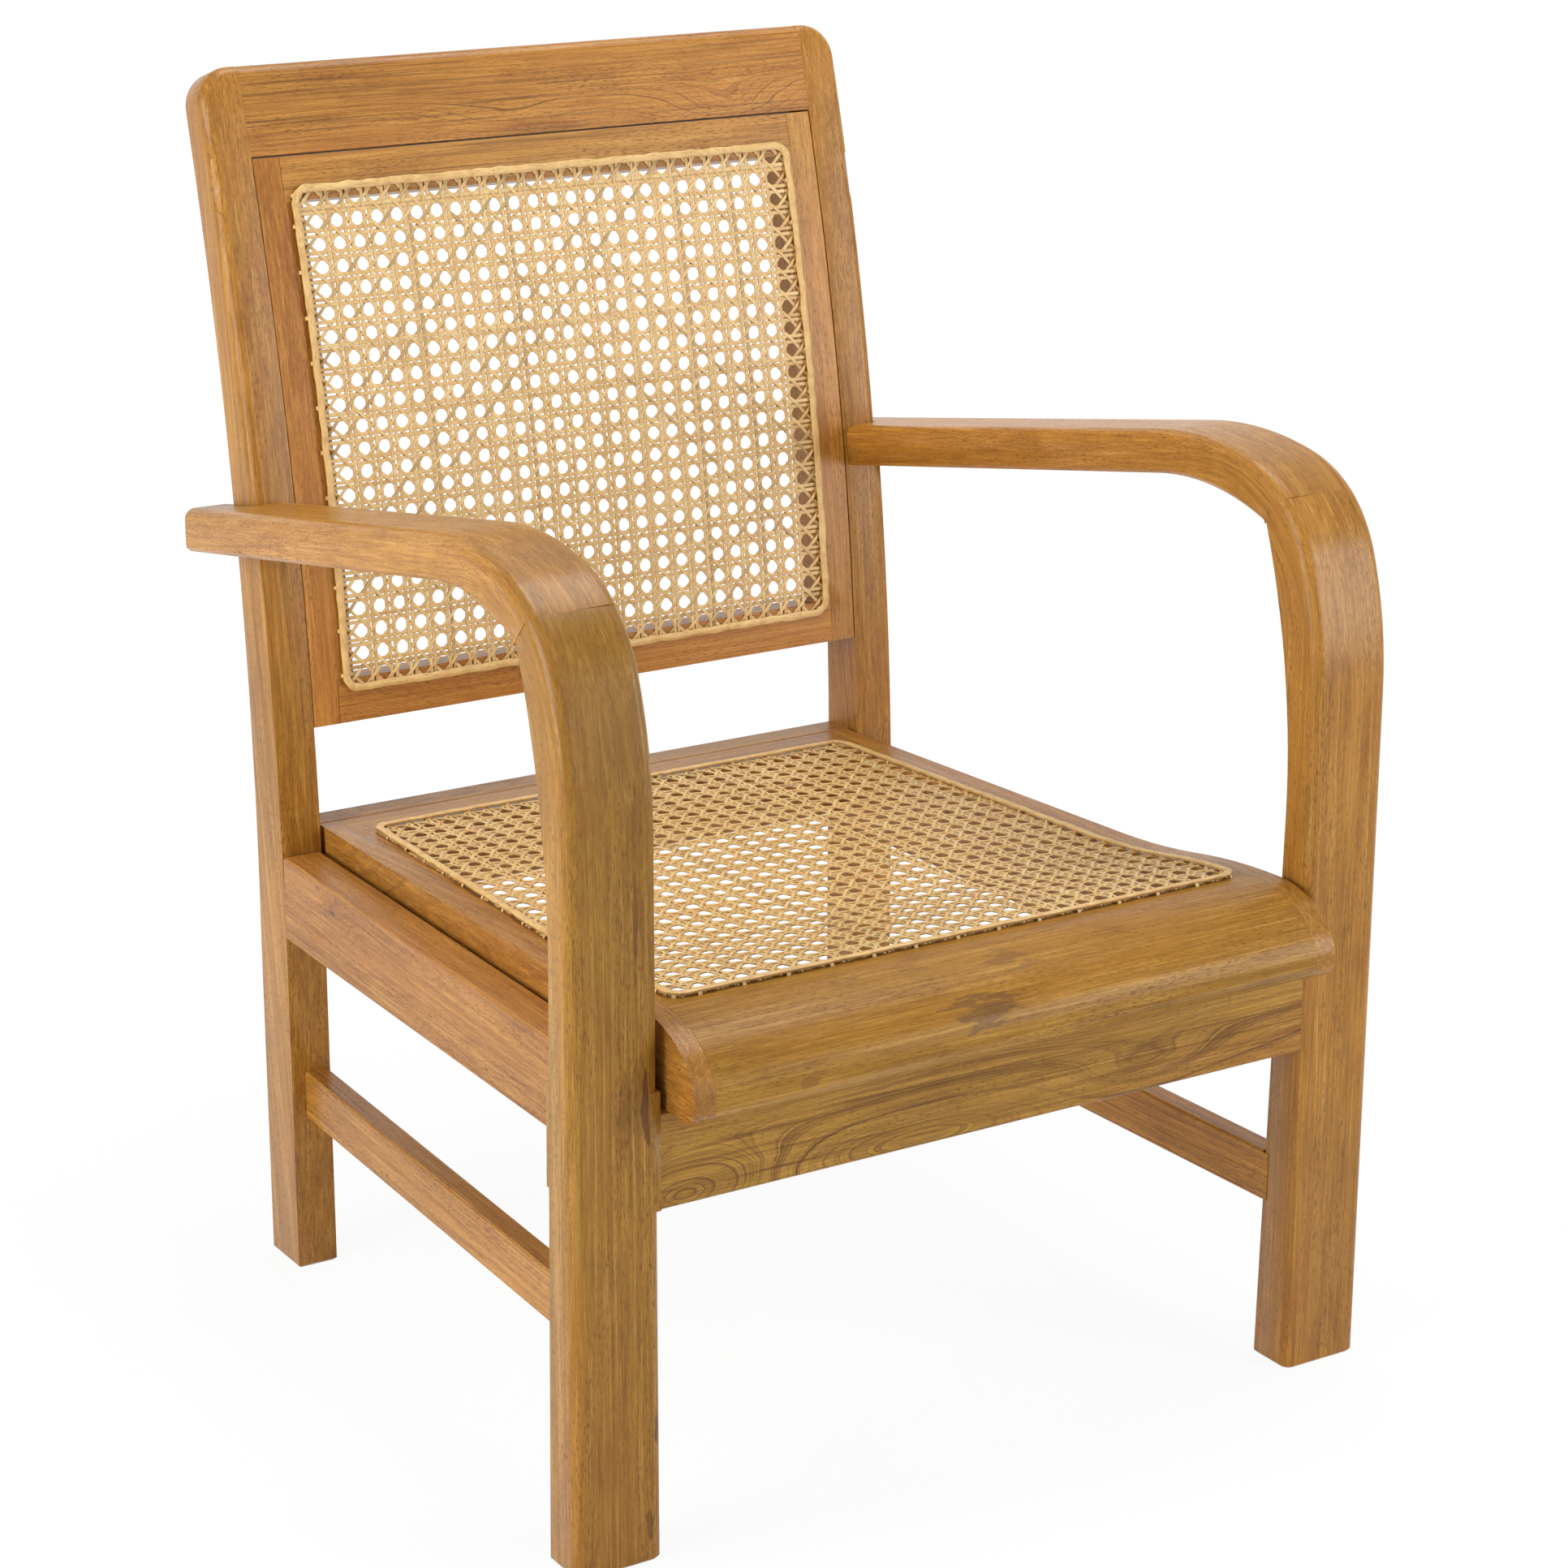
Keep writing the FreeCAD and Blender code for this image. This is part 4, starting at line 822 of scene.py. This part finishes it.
def straight_strands(bed, axis):
    """Pairs of strands along one axis, each over and under those that it crosses."""
    other = 1 - axis
    half_width = bed.half_width(bed.low)
    if axis == 1:
        pairs = bed.lattice(0, EDGE_ROOM - half_width, half_width - EDGE_ROOM)
        crossings = bed.lattice(1, bed.low, bed.high)
    else:
        pairs = bed.lattice(1, bed.low + EDGE_ROOM, bed.high - EDGE_ROOM)
        crossings = bed.lattice(0, -half_width, half_width)
    half = bed.pitch[axis] / 2
    found = []
    for pair in pairs:
        for twin in (0, 1):
            fixed = bed.first[other] + pair * bed.pitch[other] + (2 * twin - 1) * PAIR_SPREAD
            rows = []
            for crossing in crossings:
                centre = bed.first[axis] + crossing * bed.pitch[axis]
                turn = 1 if (pair * 2 + twin + crossing * 2) % 2 else -1
                turn = turn if axis == 1 else -turn
                for shift, lift in (
                        (-half, 0), (-CROSSING_HALF, 0), (-PAIR_SPREAD, turn),
                        (PAIR_SPREAD, -turn), (CROSSING_HALF, 0)):
                    spot = centre + shift
                    row = (fixed, spot) if axis == 1 else (spot, fixed)
                    rows.append(row + (WEAVE_LIFT + lift * CROSSING_LIFT,))
            found.append(bed.clipped(rows))
    return found


def diagonal_strands(bed, lean):
    """Single strands on the slant, over one kind of pair and under the other."""
    half_width = bed.half_width(bed.low)
    columns = bed.lattice(0, -half_width, half_width)
    reach = len(columns) + len(bed.lattice(1, bed.low, bed.high))
    found = []
    for number in range(-reach, reach):
        rows = []
        for quarter in range(columns[0] * 4 - 4, columns[-1] * 4 + 5):
            s_unit = quarter / 4
            t_unit = lean * s_unit + number + 0.5
            s = bed.first[0] + s_unit * bed.pitch[0]
            t = bed.first[1] + t_unit * bed.pitch[1]
            lift = lean * math.cos(2 * math.pi * s_unit) * DIAGONAL_LIFT
            rows.append((s, t, WEAVE_LIFT + lift))
        found.append(bed.clipped(rows))
    return found


def woven(bed, ending, strands, width, material, seed=""):
    """One piece of strands, with a tone and a slight wander for each."""
    draw = random.Random(bed.name + seed)
    mesh, layer = new_cane()
    for rows in strands:
        if len(rows) < FEWEST_STATIONS:
            continue
        tone = draw.random()
        drift = draw.uniform(-STRAND_DRIFT, STRAND_DRIFT)
        slack = draw.uniform(-STRAND_SLACK, STRAND_SLACK)
        wide = width * draw.uniform(*STRAND_WIDTHS)
        moved = [(s + drift, t + drift, lift + slack) for s, t, lift in rows]
        lay_strand(mesh, bed, layer, moved, wide, tone)
    bmesh.ops.solidify(mesh, geom=mesh.faces[:], thickness=STRAND_THICKNESS)
    return finished(mesh, bed.name + ending, material, bed.body, CANE_SHARP_ANGLE)


def ring_path(bed):
    """Places round the ring of holes, drawn in a little, with round corners."""
    corner = BINDER_CORNER - BINDER_INSET
    low, high = bed.low + BINDER_INSET, bed.high - BINDER_INSET
    places = []
    for turn, (sign_s, sign_t) in enumerate(((1, -1), (1, 1), (-1, 1), (-1, -1))):
        t_middle = low + corner if sign_t < 0 else high - corner
        s_middle = sign_s * (bed.half_width(t_middle) - BINDER_INSET - corner)
        for part in range(CORNER_PARTS + 1):
            angle = math.radians(-90 + turn * 90 + part * 90 / CORNER_PARTS)
            spot = (s_middle + corner * math.cos(angle), t_middle + corner * math.sin(angle))
            places.append(spot)
    path = []
    for (s0, t0), (s1, t1) in zip(places, places[1:] + places[:1]):
        parts = max(1, round(math.hypot(s1 - s0, t1 - t0) / PATH_STEP))
        path += [(s0 + (s1 - s0) * k / parts, t0 + (t1 - t0) * k / parts) for k in range(parts)]
    return path


def heading_and_aside(path, index):
    """The way that a closed path runs at one of its places, and the way across it."""
    heading = (Vector(path[(index + 1) % len(path)]) - Vector(path[index - 1])).normalized()
    return heading, Vector((heading.y, -heading.x))


def binder(bed, path, draw, material):
    """The flat strip over the ring of holes."""
    mesh, layer = new_cane()
    count = len(path)
    grid = bmesh.ops.create_grid(mesh, x_segments=count, y_segments=4, size=0.5)
    wander = [draw.uniform(-BINDER_WANDER, BINDER_WANDER) for _ in path]
    swell = [draw.uniform(*BINDER_WIDTHS) for _ in path]
    for vert in grid["verts"]:
        index = round((vert.co.x + 0.5) * count) % count
        k = round((vert.co.y + 0.5) * 4) / 4 - 0.5
        s, t = path[index]
        aside = heading_and_aside(path, index)[1]
        aside = aside * (k * BINDER_WIDTH * swell[index] + wander[index])
        lift = BINDER_LIFT + BINDER_RISE * (1 - (2 * k) ** 2)
        tone = 0.7 + 0.15 * math.sin(index * 0.37)
        vert.co = bed.place(s + aside.x, t + aside.y, lift)
        vert[layer] = Vector((index * PATH_STEP, k * STRAND_WIDTH * 0.85, tone))
    bmesh.ops.remove_doubles(mesh, verts=mesh.verts, dist=BINDER_MERGE)
    bmesh.ops.solidify(mesh, geom=mesh.faces[:], thickness=BINDER_THICKNESS)
    return finished(mesh, bed.name + "_binder", material, bed.body, CANE_SHARP_ANGLE)


def ties(bed, path, draw, material):
    """The short loops that hold the binder down."""
    mesh, layer = new_cane()
    for index in range(TIE_STEPS // 2, len(path), TIE_STEPS):
        s, t = path[index]
        heading, aside = heading_and_aside(path, index)
        grid = bmesh.ops.create_grid(mesh, x_segments=8, y_segments=2, size=0.5)
        tone = 0.55 + draw.random() * 0.33
        slant = draw.uniform(-TIE_SLANT, TIE_SLANT)
        for vert in grid["verts"]:
            around = vert.co.x * 2
            k = vert.co.y
            reach = around * TIE_REACH
            lift = TIE_LIFT - TIE_DROP * abs(around) ** 3.5
            along = heading * (k * TIE_WIDTH + slant * reach)
            vert.co = bed.place(
                s + aside.x * reach + along.x, t + aside.y * reach + along.y, lift)
            vert[layer] = Vector((around * 0.005, k * TIE_WIDTH, tone))
    bmesh.ops.solidify(mesh, geom=mesh.faces[:], thickness=TIE_THICKNESS)
    finished(mesh, bed.name + "_ties", material, bed.body, CANE_SHARP_ANGLE)


def back_bed():
    """The face of the leaning back panel, in arc length from the bend."""
    low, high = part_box("back_cane")
    axis_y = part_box("rear_post_left")[0].y + BACK_RADIUS
    half = high.x - BINDER_INSET

    def point(s, t):
        angle = t / BACK_RADIUS
        y = axis_y - BACK_RADIUS * math.cos(angle)
        return Vector((s, y, BACK_BEND_HEIGHT + BACK_RADIUS * math.sin(angle)))

    def arc_length(height):
        return BACK_RADIUS * math.asin((height - BACK_BEND_HEIGHT) / BACK_RADIUS)

    return Bed(
        "back_cane", "frame", point, lambda t: half, arc_length(low.z) + BINDER_INSET,
        arc_length(high.z) - BINDER_INSET, BACK_PITCH, BACK_FIRST)


def seat_bed():
    """The seat's top, level behind and swelling to the front roll, as measured on the CAD cane."""
    low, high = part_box("seat_cane")
    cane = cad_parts["seat_cane"].data
    corners = [vertex.co for vertex in cane.vertices]
    sheet = BVHTree.FromPolygons(corners, [face.vertices[:] for face in cane.polygons])
    cane_thickness = 0.0015
    # Solid cane lies along the sheet's ends and its left edge, outside the openings
    solid_end = 0.013
    solid_edge = 0.004
    end_gap = 0.0002
    count = 90

    def half_width(y):
        share = (y - low.y) / (high.y - low.y)
        return SEAT_FRONT_HALF + (SEAT_REAR_HALF - SEAT_FRONT_HALF) * share - BINDER_INSET

    def measured(y):
        near_end = min(y - low.y, high.y - y) < solid_end
        above = Vector((0.0 if near_end else solid_edge - half_width(y), y, 1.0))
        return sheet.ray_cast(above, Vector((0, 0, -1)))[0].z - cane_thickness

    step = (high.y - low.y - 2 * end_gap) / count
    heights = [measured(low.y + end_gap + step * k) for k in range(count + 1)]

    def point(s, t):
        place = min(max((t - low.y - end_gap) / step, 0.0), count - 0.001)
        k = int(place)
        return Vector((s, t, heights[k] + (heights[k + 1] - heights[k]) * (place - k)))

    return Bed(
        "seat_cane", "seat", point, half_width, low.y + BINDER_INSET, high.y - BINDER_INSET,
        SEAT_PITCH, SEAT_FIRST)


def cane_pieces():
    """The weave of back and seat, each with its binder and ties."""
    material = cane_finish("natural_cane")
    for bed in (back_bed(), seat_bed()):
        name = bed.name
        uprights = woven(bed, "_uprights", straight_strands(bed, 1), STRAND_WIDTH, material)
        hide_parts(name)
        woven(bed, "_crosses", straight_strands(bed, 0), STRAND_WIDTH, material, "x")
        woven(bed, "_rising", diagonal_strands(bed, 1), DIAGONAL_WIDTH, material, "r")
        woven(bed, "_falling", diagonal_strands(bed, -1), DIAGONAL_WIDTH, material, "f")
        path = ring_path(bed)
        draw = random.Random(name)
        strip = binder(bed, path, draw, material)
        ties(bed, path, draw, material)
        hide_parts(name + "_binder")


# Studio


def camera():
    """The photograph's camera."""
    forward = CAMERA_FORWARD.normalized()
    right = forward.cross(Vector((0, 0, 1))).normalized()
    up = right.cross(forward)
    turned_right = right * math.cos(CAMERA_ROLL) + up * math.sin(CAMERA_ROLL)
    turned_up = up * math.cos(CAMERA_ROLL) - right * math.sin(CAMERA_ROLL)
    lens = bpy.data.cameras.new("camera")
    lens.sensor_width = CAMERA_SENSOR
    lens.lens = CAMERA_LENS
    lens.clip_end = CAMERA_CLIP
    holder = bpy.data.objects.new("camera", lens)
    turn = Matrix((turned_right, turned_up, -forward)).transposed().to_4x4()
    holder.matrix_world = Matrix.Translation(CAMERA_PLACE) @ turn
    bpy.context.scene.collection.objects.link(holder)
    bpy.context.scene.camera = holder


def soft_lamp(name, place, size, power):
    """A rectangular lamp that looks at the chair's middle."""
    lamp = bpy.data.lights.new(name, "AREA")
    lamp.shape = "RECTANGLE"
    lamp.size, lamp.size_y = size
    lamp.energy = power
    holder = bpy.data.objects.new(name, lamp)
    aim = (LAMP_TARGET - Vector(place)).to_track_quat("-Z", "Y")
    holder.matrix_world = Matrix.Translation(Vector(place)) @ aim.to_matrix().to_4x4()
    bpy.context.scene.collection.objects.link(holder)


def floor():
    """A pale floor that keeps the chair's shadow and turns to plain white further out."""
    mesh = bmesh.new()
    bmesh.ops.create_grid(mesh, x_segments=1, y_segments=1, size=FLOOR_HALF)
    data = bpy.data.meshes.new("floor")
    mesh.to_mesh(data)
    mesh.free()
    ground = bpy.data.objects.new("floor", data)
    bpy.context.scene.collection.objects.link(ground)
    finish = Finish("floor_white")
    data.materials.append(finish.surface(Base_Color=FLOOR_TONE, Roughness=0.9))
    away = finish.length(finish.node("ShaderNodeTexCoord", output="Object"))
    bare = finish.ramp(away * 0.4, (0.16, 0.9), (0.5, 1.0))
    glow = {"Color": WHITE, "Strength": WHITE_STRENGTH}
    white = finish.node("ShaderNodeEmission", inputs=glow)
    layers = {0: finish.seen() * bare, 1: finish.lit, 2: white}
    finish.show(finish.node("ShaderNodeMixShader", inputs=layers), finish.outlet)


def studio():
    """Three soft lamps in a pale room that shows as plain white."""
    world = bpy.data.worlds.new("studio")
    world.use_nodes = True
    room = Nodes(world.node_tree)
    lit = {"Color": ROOM_TONE, "Strength": ROOM_STRENGTH}
    shown = {"Color": WHITE, "Strength": WHITE_STRENGTH}
    soft, white = (room.node("ShaderNodeBackground", inputs=values) for values in (lit, shown))
    whole = room.node("ShaderNodeMixShader", inputs={0: room.seen(), 1: soft, 2: white})
    room.show(whole, room.tree.nodes.new("ShaderNodeOutputWorld"))
    bpy.context.scene.world = world
    for name, place, size, power in LAMPS:
        soft_lamp(name, place, size, power)
    bpy.context.scene.view_settings.view_transform = "Standard"


camera()
wooden_pieces()
raw_wood()
cane_pieces()
floor()
studio()
